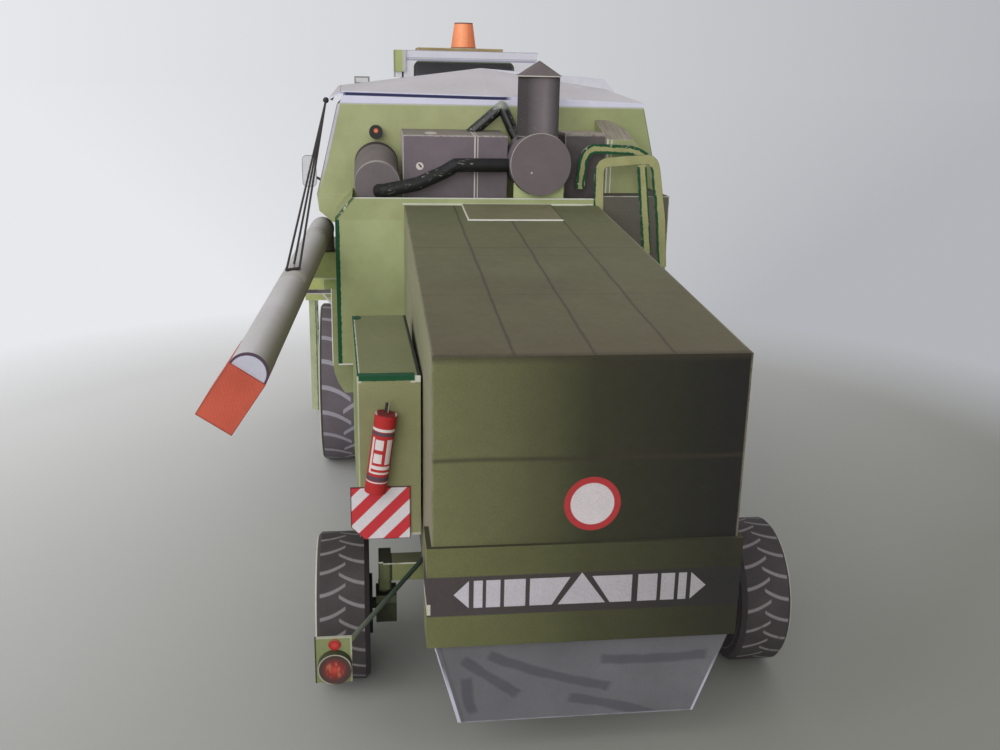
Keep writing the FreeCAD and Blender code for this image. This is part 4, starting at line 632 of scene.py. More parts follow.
def deck_drawing(b):
    b.colour = green_card(b, (158, 164, 120), (144, 150, 104))
    # Painted light: the deck's floor is printed very pale, against the shade of the engine parts over it.
    b.lay(b.top * b.under(b.z, DECK_TOP - 1), (196, 202, 152))
    white = b.over(b.z, DECK_TOP - 0.35) * b.either(b.rear, b.top)
    white = b.either(white, b.line(b.z, 112.85, 0.35) * b.rear * b.under(abs(b.x), 35.5))
    b.lay(white, (196, 198, 190))
    along = b.x + b.z * DECK_SLANT
    slant = b.over(along, 146.7, 0.3) * b.over(b.x, 53) * (1 - b.rear)
    rim = b.band(along + (b.noise(2, 3) - 0.5) * 0.8, 147.6, 151, 0.3) * b.rear * b.over(b.x, 52)
    bits = b.patches(1.4, 0.6, 0.08)
    edge = b.mix(bits, PEN_GREEN, (190, 194, 182))
    b.lay(slant, b.mix(b.over(b.s, 162.3), edge, (138, 144, 100)))
    b.lay(rim * 0.8, edge)
    b.lay(b.facing("front", "foot"), PAPER)


def screen_drawing(b):
    b.colour = b.mix(b.over(b.noise(16), 0.5, 0.5), (72, 70, 62), (62, 60, 54))
    hatch = b.either(louvres(b, b.x + b.z + b.s, 1.0, 0.5), louvres(b, b.x - b.z + b.s, 1.0, 0.5))
    screened = b.facing("rear", "right")
    b.lay(hatch * screened * 0.75, (96, 94, 82))
    side = b.facing("right")
    b.lay(side * 0.45, (62, 58, 60))
    rims = b.frame(b.s, 139, 177, b.z, 90, 115, 0.5) * side
    b.lay(b.either(folds(b, "screen_box", 0.28) * 0.8, rims * 0.4), (176, 170, 164))


dress("deck_print", deck_drawing, "engine_deck")
dress("screen_print", screen_drawing, "screen_box")

# %% [markdown]
# ## Grain tank and its covers
# The tank is light green.  Where its walls meet at a slant, a pale strip of glued card shows.  It
# could be a band of x, but then it would leave the slanting edge; it is measured from the edge
# instead, as x plus a share of z, and keeps its width all the way up.  The covers are pale grey
# sheets with a lavender flap, and a painted shadow in the gap under their near edge.

# %% Grain tank and covers
WAIST_Z, WAIST_X = 112.6, 66.8
TOP_Z, TOP_X = 146.1, 58.5


def tank_drawing(b):
    b.colour = green_card(b, (164, 168, 126), (152, 157, 113))
    # Painted shade: the rear darkens towards the machine's right.
    b.lay(b.under(b.x, -20, 60) * b.rear * 0.5, (134, 142, 98))
    rear = b.facing("rear", "front")
    wall = abs(b.x) + (b.z - WAIST_Z) * ((WAIST_X - TOP_X) / (TOP_Z - WAIST_Z))
    strip = b.band(wall, WAIST_X - 1.25, WAIST_X + 1, 0.2) * b.over(b.z, 120, 12) * rear * b.over(b.x, 0)
    b.lay(strip, (190, 187, 200))
    thin = b.band(wall, WAIST_X - 0.3, WAIST_X + 1, 0.15)
    b.lay(thin * 0.7, (92, 96, 74))
    rim = b.over(b.z, TOP_Z - 0.35, 0.2)
    ribs = b.either(b.line(b.z, 120), b.line(b.z, 132), b.line(b.repeat(b.s - 9, 23.3), 0.2)) * b.sides
    sight = b.box(b.s, 236, 252, b.z, 123, 130) * b.sides
    b.lay(b.either(ribs * 0.75, b.frame(b.s, 235, 253, b.z, 122, 131, 0.4) * b.sides), SEAM)
    b.lay(sight, (72, 76, 74))
    b.lay(b.either(rim, b.line(b.z, WAIST_Z, 0.25) * 0.5), (170, 176, 150))


def cover_drawing(b):
    b.colour = b.mix(b.patches(22, 0.48, 0.4), (190, 186, 190), (178, 174, 177))
    upright = b.looks("top", 0.5)
    rise = b.z - TOP_Z
    b.lay(1 - upright, (206, 205, 222))
    flap = 2.9 + b.over(b.x, 28.7, 54.6) * 0.8
    # Painted shadow: a dark line in the gap under the covers' near edge.
    gap_shadow = b.band(rise - flap, -0.75, 0.4, 0.25) * b.rear * b.band(b.x, -6, 56.4, 2.5)
    b.lay(gap_shadow, (44, 48, 82))
    seam = b.line(b.s + (b.noise(12) - 0.5) * 0.6, 230, 0.25)
    hip = b.line(b.x - rise * 0.25, 56.2, 0.3) * upright
    b.lay(b.either(seam * 0.6, hip * 0.7), (120, 112, 140))
    worn = b.over(b.noise(5, 4, 0.7), 0.66, 0.1) * b.under(b.x, -18, 8) * 0.5
    b.lay(worn * 0.8, (222, 222, 226))
    foot = b.under(rise, 0.3, 0.2)
    b.lay(b.either(foot * 0.5, b.facing("foot")), (150, 148, 146))


dress("tank_print", tank_drawing, "grain_tank")
dress("cover_print", cover_drawing, "tank_covers", screen=0.55)

# %% [markdown]
# ## Engine
# Housing, air filter, drum and stack are printed in a purplish grey.  Rolled card keeps a pale edge
# where its end disc is glued in: it is a ring, which is a band of the distance from the axis.  The
# lamps would shade the round stack by themselves, but its print is darker towards both sides as well,
# like a drawn cylinder, so that shade is laid on too.

# %% Engine
FILTER = (44.3, 119.2, 8.1)         # x, z and radius of the filter's rear end
DRUM = (-13.5, 127.0, 10.9)
STACK_X, STACK_RADIUS = -13.5, 7.5
HOUSING_SEAM, HOUSING_BOLT = 8.7, (29.0, 125.4)
RUBBED = (196, 190, 184)


def grey_card(b, light, deep):
    return b.uneven(14, light, deep)


def housing_drawing(b):
    b.colour = grey_card(b, (112, 102, 108), (100, 92, 96))
    b.lay(b.top, (122, 114, 106))
    seams = b.either(b.line(b.x, HOUSING_SEAM - 0.55, 0.3), b.line(b.x, HOUSING_SEAM + 0.5, 0.45))
    front_fold = b.either(b.line(b.z, 136, 0.3) * b.patches(2, 0.46, 0.2), b.over(b.x, 34.75) * 0.9)
    reach = b.radius(b.x, HOUSING_BOLT[0], b.z, HOUSING_BOLT[1])
    bolt = b.under(reach, 1.35) * b.rear
    worn = b.under(b.radius(b.x, 24.5, (b.s - 180) * 0.5, 0), 2.2, 0.3) * b.top
    b.lay(b.either(seams, front_fold * 0.7, bolt, worn * 0.7), RUBBED)
    slot = b.band(b.x - b.z * 0.8, -71.9, -71.2) * b.under(reach, 0.8)
    b.lay(slot, SHADE_LINE)


def filter_drawing(b):
    x, z, size = FILTER
    b.colour = grey_card(b, (114, 106, 102), (98, 91, 90))
    reach = b.radius(b.x, x, b.z, z)
    b.lay(b.rear, (112, 104, 106))
    rim = b.band(reach, size - 0.22, size + 1) * b.over(b.z, z - 2, 3) * b.rear
    # Painted shadow: a dark band near the filter's far end, where it meets the housing.
    far_end_shadow = b.band(b.s, 186, 188.5) * (1 - b.rear)
    b.lay(far_end_shadow, (48, 45, 44))
    near = b.under(b.s, 167.3, 0.2) * (1 - b.rear)
    b.lay(b.either(rim, near) * 0.7, (156, 150, 144))


def drum_drawing(b):
    x, z, size = DRUM
    b.colour = b.mix(b.rear, grey_card(b, (112, 104, 108), (96, 90, 93)), (101, 92, 94))
    reach = b.radius(b.x, x, b.z, z)
    rim = b.band(reach, size - 0.2, size + 1) * b.over(b.x * 0.8 + b.z, z - 6, 6) * b.rear
    near = b.under(b.s, 161.35, 0.2) * (1 - b.rear)
    spot = b.under(b.radius(b.x, x + 3.2, b.z, z - 2.9), 0.3) * b.rear
    b.lay(b.either(rim * 0.6, near, spot), RUBBED)


def stack_drawing(b):
    shade = b.under(abs(b.x - STACK_X + 1.5), STACK_RADIUS * 0.45, 6)
    b.colour = b.mix(shade, (64, 59, 60), (118, 110, 113))
    hat = b.over(b.z, 156.9)
    b.lay(hat, grey_card(b, (110, 100, 98), (94, 86, 86)))
    edge = b.either(b.line(b.z, 157.15, 0.35), b.line(b.z, 136.4, 0.3) * 0.4)
    specks = b.over(b.noise(0.7, 2, 0.6), 0.72, 0.05)
    b.lay(specks * (1 - hat) * 0.5, (160, 152, 156))
    b.lay(edge, (186, 180, 170))


dress("housing_print", housing_drawing, "engine_housing")
dress("filter_print", filter_drawing, "air_filter")
dress("drum_print", drum_drawing, "intake_drum")
dress("stack_print", stack_drawing, "intake_stack")

# %% [markdown]
# ## Cooler and radiator housing
# Both stand at the right of the engine.  The housing has a white double fold beside the cooler, and
# its top was left in a streaky grey.  Streaks drawn one by one would look ruled, so they are noise
# that is stretched in all directions but sideways.

# %% Cooler and radiator
def cooler_drawing(b):
    b.colour = grey_card(b, (88, 82, 82), (66, 61, 62))
    b.lay(b.top, (128, 118, 110))
    corner = b.under(b.x, -33, 8) * b.rear
    b.lay(corner * 0.5, (104, 96, 94))
    frayed = b.over(b.z, 136.4, 0.5) * b.patches(0.9, 0.42, 0.2)
    b.lay(b.either(folds(b, "cooler_box", 0.3) * 0.6, frayed * 0.6), (170, 162, 152))


def radiator_drawing(b):
    b.colour = green_card(b, (150, 155, 112), (134, 139, 98))
    streak = b.over(b.noise(1.2, 3, 0.6, (1, 0.08, 0.08)), 0.5, 0.3)
    grey = b.mix(streak, (140, 132, 118), (118, 110, 98))
    b.lay(b.looks("top", 0.4), grey)
    edge = b.either(b.line(b.x, -39.9, 0.5), b.line(b.x, -41.4, 0.35)) * b.rear
    grille = b.box(b.s, 177, 189, b.z, 120, 132) * louvres(b, b.z)
    b.lay(b.either(b.frame(b.s, 176, 190, b.z, 119, 133, 0.4), grille) * b.facing("right"), SEAM)
    b.lay(b.either(edge, b.line(b.z, 135.5, 0.3) * b.rear * 0.6), (206, 206, 200))


dress("cooler_print", cooler_drawing, "cooler_box")
dress("radiator_print", radiator_drawing, "radiator_housing")

# %% [markdown]
# ## Side box, warning plate and fire extinguisher
# The box beside the hood has its near top edge covered with felt pen.  The striped plate is drawn
# with one repeating line in x plus z, which slants by 45 degrees.  The extinguisher is a rolled strip
# of card that leans.  Its bands would cross it aslant if they went by height, so they follow the
# distance along its leaning axis, and its blank label blocks follow the distance across as well.

# %% Side box
BOX_TOP = span("side_box")[2][1]
BOX_DOORS, BOX_DOOR_WIDE, BOX_DOOR_Z = (38, 68), 28, (50, 82)       # stations of near edges first


def side_box_drawing(b):
    top, rear = b.top, b.rear
    b.colour = b.uneven(18, (136, 136, 99), (124, 124, 88))
    # Painted shade: the top is printed darker than the rear and the left face.
    b.lay(top, b.uneven(22, (118, 119, 86), (106, 111, 77), 0.5))
    b.lay(b.facing("left"), green_card(b))
    doors = b.either(*[b.frame(b.s, near, near + BOX_DOOR_WIDE, b.z, *BOX_DOOR_Z) for near in BOX_DOORS])
    b.lay(doors * b.facing("left"), SEAM)
    way = (b.noise(1.4, 3) - 0.5) * 0.9
    near = b.either(b.under(b.s + way, 36.7, 0.2) * top, b.over(b.z + way * 0.5, BOX_TOP - 1.3, 0.2) * rear)
    near = near * b.band(b.x + way * 0.5, 37.0, 50.8, 0.3)
    ends = b.either(b.under(b.x, 38.0, 0.6), b.over(b.x, 50.0, 0.6))
    below = b.over(b.z + way * 0.7, BOX_TOP - 1.7, 0.2) * rear * ends
    b.lay(b.either(below, b.under(b.s, 34.4) * top * b.over(b.x, 38)), (186, 187, 174))
    across = b.x - (b.s - 34) * 0.03
    b.lay(b.over(across, 50.3, 0.15) * top, (176, 178, 164))
    marked = b.pen(across, 50.6, 51.4, 0.3) * top
    blot = b.under(b.radius(b.x, 51.6, b.s * 0.5, 48.5), 1.4, 0.3) * top
    b.lay(b.either(near, marked, blot), PEN_GREEN)
    # Painted shadow: a dark strip along the top's inner edge, in the gap beside the hood's side.
    inner = b.under(b.x - (b.s - 34) * 0.02 + way * 0.3, 36.4, 0.3) * top
    b.lay(inner, (34, 38, 32))
    fold = b.either(b.over(b.x, 50.65, 0.15), b.under(b.z, 45, 0.2)) * rear
    b.lay(b.either(fold * 0.8, b.facing("foot")), (178, 178, 164))


dress("side_box_print", side_box_drawing, "side_box")

# %% Warning plate
PLATE_X, _, PLATE_Z = span("warning_plate")
STRIPE_PITCH, STRIPE_PHASE = 7.7, 87.1
PLATE_CORNER = 3.4


def plate_drawing(b):
    across = b.x + b.z - STRIPE_PHASE + STRIPE_PITCH / 2
    red = b.under(b.repeat(across, STRIPE_PITCH), STRIPE_PITCH / 4, 0.2)
    b.colour = b.mix(red, (206, 200, 204), (186, 52, 58))
    corner = PLATE_X[1] - PLATE_CORNER - PLATE_Z[0]
    outline = b.either(b.under(b.x, PLATE_X[0] + 0.25), b.over(b.x, PLATE_X[1] - 0.25),
                       b.under(b.z, PLATE_Z[0] + 0.2), b.over(b.z, PLATE_Z[1] - 0.2),
                       b.over(b.x - b.z, corner - 0.3))
    b.lay(outline * 0.9, (74, 34, 40))
    b.lay(b.facing("front"), PAPER)


dress("plate_print", plate_drawing, "warning_plate", screen=0.7)

# %% Fire extinguisher
BOTTLE_X, BOTTLE_FOOT, BOTTLE_LEAN = 47.0, 57.9, math.radians(8.2)
BOTTLE_RED = (172, 46, 46)


def bottle_drawing(b):
    axis = (-math.sin(BOTTLE_LEAN), 0, math.cos(BOTTLE_LEAN))
    high = b.along(axis, (BOTTLE_X, 0, BOTTLE_FOOT))
    across = b.along((axis[2], 0, -axis[0]), (BOTTLE_X, 0, BOTTLE_FOOT))
    b.colour = b.mix(b.over(b.noise(6), 0.5, 0.4), BOTTLE_RED, (164, 38, 38))
    label = b.band(high, 5.4, 14.6)
    frame_line = b.band(across, 1.95, 2.35) * label
    blocks = b.box(across, -0.3, 1.7, high, 11.6, 14.2) + b.box(across, -0.3, 1.7, high, 8.2, 10.6)
    column = b.box(across, -2.3, -1.1, high, 8.0, 14.4)
    feet = b.band(across, -2.5, 2.0) * b.either(b.band(high, 6.6, 7.5), b.band(high, 5.4, 5.9))
    white = b.either(frame_line, blocks, column, feet, b.band(high, 16.3, 17.0), b.band(high, 3.0, 3.3))
    straps = b.either(b.band(high, 15.2, 16.1), b.band(high, 3.5, 4.7))
    rear = b.facing("rear", "left", "right", "front")
    b.lay(white * rear, (206, 196, 194))
    b.lay(straps * rear, (84, 66, 74))
    top = b.over(high, 20.15, 0.15)
    b.lay(top, b.mix(b.under(abs(across), 2.2, 0.2), (196, 160, 154), (112, 38, 38)))
    nozzle = b.over(high, 20.6)
    b.lay(nozzle, b.mix(b.over(across, -0.25, 0.1), (196, 192, 184), (46, 40, 34)))


dress("bottle_print", bottle_drawing, "fire_extinguisher", screen=0.8)

# %% [markdown]
# ## Rear axle, knuckles and front axle
# Small folded boxes.  The rear beam is pale green with a duller top and one white edge.  Its ends
# are painted nearly black, a painted shade of their recess.  The knuckles are nearly black too, and
# the front beam is a dark green.  They lie mostly in shade, where a fine drawing would be lost, so
# clouds of two close tones and a rubbed fold do.

# %% Axles
REAR_WHEEL, FRONT_WHEEL = (45.4, 19.5, 48.9), (215, 32.5, 46.4)     # station, radius, x of the inner face


def beam_drawing(b):
    b.colour = b.mix(b.rear, (72, 80, 52), (120, 124, 82))
    b.lay(b.top, (100, 100, 78))
    b.lay(b.patches(7, 0.5, 0.4) * 0.3, (74, 82, 50))
    # Painted shade: the beam's ends, set back in a recess, are painted dark.
    head = b.over(abs(b.x), 42.9, 0.1)
    panel = b.box(abs(b.x), 43.6, 46.2, b.z, 26.5, 34.2, 0.5) * b.rear
    b.lay(head, b.mix(panel, (40, 43, 30), (84, 88, 58)))
    edge = b.over(b.z, 34.2, 0.2) * b.rear * b.patches(3, 0.4, 0.3)
    b.lay(edge, (184, 186, 170))


def knuckle_drawing(b):
    b.colour = b.uneven(5, (58, 62, 44), (44, 48, 34))
    fold = b.over(b.z, 21.2, 0.4) * b.rear
    b.lay(fold * 0.6, (96, 100, 80))
    axle = b.radius(b.s, REAR_WHEEL[0], b.z, REAR_WHEEL[1])
    bolts = b.band(axle, 2.4, 2.8, 0.2) * b.sides
    b.lay(bolts, (110, 112, 88))


def front_beam_drawing(b):
    b.colour = b.uneven(9, (66, 74, 46), (52, 60, 36))
    box_edge = b.either(b.line(abs(b.x), 36.2, 0.4), b.line(b.z, 24.4, 0.4))
    b.lay(box_edge * 0.6, DULL_PAPER)


dress("beam_print", beam_drawing, "rear_axle_beam")
dress("knuckle_print", knuckle_drawing, "knuckle_left", "knuckle_right")
dress("front_beam_print", front_beam_drawing, "front_axle_beam")

# %% [markdown]
# ## Wheels
# Tyres are strips of card wound round two discs.  Raised bars would suit rubber, but card is flat:
# the bars of the tread are printed as pale strokes.  They follow two values, the place across the
# tread and the way round it, which is the angle about the axle times the radius.  Each tyre has its
# own material, because left and right mirror.

# %% Places on a wheel
TYRE_DARK, TYRE_DARKER = (66, 61, 62), (55, 51, 52)
REAR_RIM, FRONT_RIM = 11, 18
BOTH_SIDES = (("left", 1), ("right", -1))


def wheel_space(b, wheel, side):
    """Place on a wheel: depth outwards from its inner face, way round in mm, reach from the axle.
    The way round is the radius times the angle whose tangent is height over distance ahead."""
    station, size, inner = wheel
    way = (b.z - size).maths("ARCTAN2", b.s - station) * size
    return b.x * side - inner, way, b.radius(b.s, station, b.z, size)


def tread_bars(b, size, wide, depth, way, bars, curve, thick, past):
    """Bars in two rows, a pitch apart round the wheel.  Each starts at one edge, bends with the
    square of its distance from that edge, and ends a little past the middle.  The second row lies
    half a pitch further round."""
    pitch = 2 * math.pi * size / bars
    outer = wide - depth
    one = b.repeat(way + outer * outer * curve, pitch)
    two = b.repeat(way + depth * depth * curve + pitch / 2, pitch)
    return b.either(b.under(one, thick, 0.3) * b.over(depth, wide / 2 - past, 0.3),
                    b.under(two, thick, 0.3) * b.under(depth, wide / 2 + past, 0.3))


def tyre_walls(b, reach, size, rim):
    """Side walls: a dark sheet with two printed rings."""
    b.lay(b.sides, b.uneven(8, (62, 58, 60), (54, 50, 52), 0.5))
    rings = b.either(b.line(reach, rim + 1.2, 0.3), b.line(reach, size - 3.2, 0.3))
    b.lay(rings * b.sides * 0.6, (112, 106, 110))


print("wheels in mm across:", 2 * REAR_WHEEL[1], "and", 2 * FRONT_WHEEL[1])

# %% Tyres
def rear_tyre(side, wide=13.6):
    def drawing(b):
        size = REAR_WHEEL[1]
        depth, way, reach = wheel_space(b, REAR_WHEEL, side)
        tread = b.over(reach, size - 1.6, 0.3) * (1 - b.sides)
        bars = tread_bars(b, size, wide, depth, way, 21, 0.047, 0.45, 0.8)
        b.colour = b.uneven(9, TYRE_DARK, TYRE_DARKER, 0.5)
        b.lay(bars * tread * b.patches(2.2, 0.28, 0.2), (122, 116, 118))
        tyre_walls(b, reach, size, REAR_RIM)
        edge = b.either(b.line(depth, 0.5, 0.7), b.line(depth, wide - 0.9, 0.5)) * tread
        b.lay(edge * 0.8, (34, 32, 32))
        raw = b.over(depth, wide - 0.4, 0.15) * b.over(reach, size - 1.5, 0.2)
        b.lay(raw * b.patches(2.4, 0.32, 0.2), (176, 172, 156))
    return drawing


def front_tyre(side, wide=21.4, turned=1.7):
    """The front tread is turned a little, by a distance in mm along the tread."""
    def drawing(b):
        size = FRONT_WHEEL[1]
        depth, way, reach = wheel_space(b, FRONT_WHEEL, side)
        tread = b.over(reach, size - 1.6, 0.3) * (1 - b.sides)
        bars = tread_bars(b, size, wide, depth, way + turned, 20, -0.035, 0.9, 1.5)
        b.colour = b.uneven(12, (106, 98, 104), (94, 87, 92), 0.5)
        b.lay(bars * tread, (154, 149, 158))
        tyre_walls(b, reach, size, FRONT_RIM)
        raw = b.over(abs(depth - wide / 2), wide / 2 - 0.4, 0.15) * b.over(reach, size - 1.5, 0.2)
        b.lay(raw, (190, 188, 172))
    return drawing


for side, way in BOTH_SIDES:
    dress("rear_tread_" + side, rear_tyre(way), "rear_tyre_" + side)
    dress("front_tread_" + side, front_tyre(way), "front_tyre_" + side)

# %% [markdown]
# ## Rims
# The discs are printed with a dished rim, a hub, a circle of bolts and four round holes.  A mask for
# each mark would be a long list.  So a circle of marks is the angle about the axle cut into equal
# parts, with one mark drawn in every part.

# %% Rims
def rim_drawing(wheel, rim, side, bolts):
    def drawing(b):
        size = wheel[1]
        depth, way, reach = wheel_space(b, wheel, side)

        def circle(count, share, hole, soft):
            """Round marks whose middles lie on a circle that is a share of the rim."""
            round_way = 2 * math.pi * rim * share / count
            along = b.repeat(way / size * (count / (2 * math.pi)), 1.0) * round_way
            return b.under(b.radius(along, 0, reach, rim * share), rim * hole, soft)

        b.colour = b.uneven(8, (176, 176, 162), (164, 162, 148), 0.5)
        b.lay(b.band(reach, rim * 0.39, rim * 0.86, 0.4) * 0.35, (140, 138, 126))
        shade = b.either(b.band(reach, rim * 0.86, rim * 0.93), b.band(reach, rim * 0.34, rim * 0.39))
        b.lay(shade, (96, 92, 86))
        b.lay(b.either(circle(bolts, 0.27, 0.05, 0.1), circle(4, 0.62, 0.1, 0.15)), (70, 66, 64))
        b.lay(b.under(depth, 1.2, 0.3) * b.over(-depth, -size * 0.15, 0.2), (40, 38, 38))
    return drawing


for side, way in BOTH_SIDES:
    dress("rear_rim_print_" + side, rim_drawing(REAR_WHEEL, REAR_RIM, way, 8), "rear_rim_" + side)
    dress("front_rim_print_" + side, rim_drawing(FRONT_WHEEL, FRONT_RIM, way, 10), "front_rim_" + side)

# %% [markdown]
# ## Rear lamp
# A small plate on a strut carries a red reflector and a round lamp: a pale rim, a dark red ring and a
# lighter centre.  Glass or a glow would be wrong, since both are only drawn on the card.  Each is a
# few discs about one centre, with soft edges, laid over one another.

# %% Lamp plate and lamp
LAMP_X, LAMP_Z, LAMP_RADIUS = 57.0, 24.2, 3.95
LAMP_OUT, LAMP_TOP, REFLECTOR_Z = 61.6, 31.3, 29.5


def lamp_plate_drawing(b):
    plate = b.under(b.s, 8.8)
    b.colour = green_card(b, (126, 132, 90), (110, 116, 76))
    edge = b.either(b.over(b.z, LAMP_TOP - 0.22), b.line(b.x, 53.2, 0.3))
    b.lay(edge * 0.8, (166, 166, 152))
    b.lay(b.over(b.x, LAMP_OUT - 0.35), (54, 60, 36))
    reach = b.radius(b.x, LAMP_X, b.z, REFLECTOR_Z)
    red = b.under(reach, 1.45) * b.rear
    b.lay(red, b.mix(b.under(reach, 0.7, 0.8), (150, 34, 38), (178, 62, 56)))
    strut = b.mix(b.over(b.z, 32, 5), (104, 108, 96), (44, 58, 48))
    b.colour = b.mix(plate, strut, b.colour)


def lamp_drawing(b):
    reach = b.radius(b.x, LAMP_X, b.z, LAMP_Z)
    b.colour = b.mix(b.rear, (58, 62, 42), (64, 48, 44))
    b.lay(b.rear * b.under(reach, 2.3, 1.6), (124, 40, 36))
    b.lay(b.rear * b.under(reach, 0.9, 1.2), (166, 62, 48))
    streaks = b.over(b.noise(1.2, 3, 0.6, (1, 1, 0.4)), 0.6, 0.1) * b.under(reach, 2.2, 0.6) * b.rear
    b.lay(streaks * 0.5, (176, 110, 84))
    rim = b.over(reach, LAMP_RADIUS - 0.3) * b.rear * b.over(b.x + b.z, LAMP_X + LAMP_Z - 3, 3)
    b.lay(rim, (144, 140, 126))


dress("lamp_plate_print", lamp_plate_drawing, "lamp_plate", screen=0.8)
dress("lamp_print", lamp_drawing, "rear_lamp", matt=0.6)

# %% [markdown]
# ## Unloading auger
# A long rolled tube in a lavender grey that turns olive on its shaded side, closed by a pale cap,
# with an orange red spout.  The tube lies askew, so rings drawn by station would cross it aslant.
# The material measures along the tube's own direction instead, from the pivot to the spout.

# %% Auger
AUGER_X, AUGER_STATION, AUGER_Z, AUGER_RADIUS, AUGER_RUN = 65.4, 200.0, 98.6, 4.6, 184.0
AUGER_OUT, AUGER_DROOP = math.radians(2.9), math.radians(1.8)
AUGER_START = (AUGER_X, REAR - AUGER_STATION, AUGER_Z)
AUGER_WAY = (math.sin(AUGER_OUT) * math.cos(AUGER_DROOP), math.cos(AUGER_OUT) * math.cos(AUGER_DROOP),
             -math.sin(AUGER_DROOP))
AUGER_ACROSS = (math.cos(AUGER_OUT), -math.sin(AUGER_OUT), 0.0)
AUGER_RINGS = ((24, 0.35), (30, 0.25), (97, 0.3), (104, 0.25))      # place along the tube, line width
SPOUT_ROLL, SPOUT_PLACE = math.radians(34), (74.7, 0, 92.8)
REST_BRACE_TOP = 78.4


def auger_drawing(b):
    run = b.along(AUGER_WAY, AUGER_START)
    across = b.along(AUGER_ACROSS, AUGER_START)
    high = b.z - AUGER_Z + run * math.sin(AUGER_DROOP)
    turned = across * 0.75 + high * 0.66
    pale = b.uneven(30, (187, 184, 184), (174, 171, 170), 0.5)
    b.colour = b.mix(b.under(turned, 0.2, 4.4), pale, (118, 115, 96))
    foot = b.under(run, 30, 8) * b.under(turned, 1.5, 4)
    b.lay(foot * 0.8, (92, 84, 88))
    rings = b.either(*[b.line(run, at, wide) for at, wide in AUGER_RINGS])
    glue = b.box(run, 97, 104, high, 2, 9)
    b.lay(glue * 0.5, (160, 154, 142))
    b.lay(rings * 0.75, (96, 92, 84))
    reach = b.radius(across, 0, high, 0)
    end = b.over(run, AUGER_RUN - 0.25) * b.rear
    cap = b.mix(b.over(reach, AUGER_RADIUS - 0.5), (178, 178, 190), (74, 56, 74))
    b.lay(end, cap)
    b.lay(b.over(run, AUGER_RUN - 0.9) * (1 - end), (84, 66, 78))


def spout_drawing(b):
    b.colour = b.uneven(9, (186, 86, 66), (174, 78, 60))
    sine, cosine = math.sin(SPOUT_ROLL), math.cos(SPOUT_ROLL)
    down, across = b.along((sine, 0, -cosine), SPOUT_PLACE), b.along((cosine, 0, sine), SPOUT_PLACE)
    edges = b.either(b.over(abs(across), 4.5, 0.15), b.over(down, 14.1, 0.15)) * b.rear
    hatch = louvres(b, across + down, 1.1, 0.5)
    b.lay(hatch * 0.12, (150, 60, 40))
    b.lay(edges * 0.7, (120, 60, 52))


def thread_drawing(b):
    twist = b.under(b.repeat(b.x * 1.2 + b.s + b.z * 1.4, 0.7), 0.14, 0.16)
    b.colour = b.mix(twist * 0.6, (34, 32, 31), (84, 80, 76))


def rest_drawing(b):
    b.colour = b.mix(b.patches(2, 0.55, 0.2), (80, 75, 78), (104, 99, 100))
    edge = b.patches(3, 0.5, 0.2) * b.top
    b.lay(edge, (176, 172, 170))
    b.lay(b.under(b.z, REST_BRACE_TOP, 0.1), (190, 188, 184))


def foot_drawing(b):
    b.colour = green_card(b, (128, 136, 84), (108, 116, 70))
    b.lay(folds(b, "auger_foot") * 0.7, DULL_PAPER)


dress("auger_print", auger_drawing, "auger_tube", screen=0.5)
dress("spout_print", spout_drawing, "auger_spout", screen=0.8)
dress("thread_twist", thread_drawing, "auger_threads", matt=0.7, screen=0.3)
dress("rest_print", rest_drawing, "auger_rest")
dress("foot_print", foot_drawing, "auger_foot")

# %% [markdown]
# ## Hose, exhaust and work light
# These are painted black, with scratches that show the paper, and a little gloss from the paint.  On
# the hose, the pale scratches on the rear and top of its left part also stand for a painted highlight.
# The scratches are too many to be placed one by one like the strokes on the apron, so they are the
# peaks of stretched noise.

# %% Painted pieces
def scratches(b, amount, stretch=(0.35, 1, 1)):
    """Long thin worn marks, which on the hose are also a painted highlight: stretched noise, cut off
    near its top.
    """
    return b.over(b.noise(0.8, 4, 0.65, stretch), 1 - amount, 0.05)


def hose_drawing(b):
    b.colour = b.uneven(4, (22, 22, 21), (16, 16, 15), 0.5)
    # Partly wear, partly a painted highlight: pale scratches only on the rear and top of the left part.
    worn = scratches(b, 0.36) * b.over(b.x, 10) * b.facing("rear", "top")
    b.lay(worn * 0.8, (132, 132, 126))


def exhaust_drawing(b):
    b.colour = b.uneven(4, (30, 31, 28), (22, 22, 20), 0.5)
    b.lay(scratches(b, 0.36, (0.5, 1, 0.5)) * b.facing("rear", "top"), (136, 138, 132))
    elbow = b.over(b.z + (b.noise(2) - 0.5) * 2.5, 145.4, 1.2) * b.under(b.x, 1.5, 0.8)
    b.lay(elbow, (134, 138, 128))


def work_light_drawing(b):
    low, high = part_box("work_light")
    reach = b.radius(b.x, (low.x + high.x) / 2 / MM, b.z, high.z / MM - 1.9)
    lens = b.mix(b.under(reach, 0.45, 0.5), (196, 96, 60), (214, 124, 84))
    b.colour = b.mix(b.under(reach, 0.85) * b.rear, (30, 30, 27), lens)


dress("hose_paint", hose_drawing, "engine_hose", matt=0.7, coat=0.1)
dress("exhaust_paint", exhaust_drawing, "exhaust_pipe", matt=0.38, coat=0.25)
dress("work_light_paint", work_light_drawing, "work_light", matt=0.5)

# %% [markdown]
# ## Cab
# The cab's rear wall is white card with a printed window frame: a pale grey band at the top, a thin
# blue line, and a dark rounded outline round the open window.  The outline could be put together from
# four bands and four quarter rings.  One value does the same: the distance from a box with rounded
# corners.

# %% Cab
WINDOW_LEFT, WINDOW_RIGHT, WINDOW_TOP, WINDOW_SILL = 25.8, -17.6, 162.0, 121.0
CAB_MIDDLE, CAB_WAIST = 1.5, 119
CAB_INSIDE, CAB_INSIDE_REAR, CAB_INSIDE_FRONT = 28.6, 272, 315      # half its width, and two stations


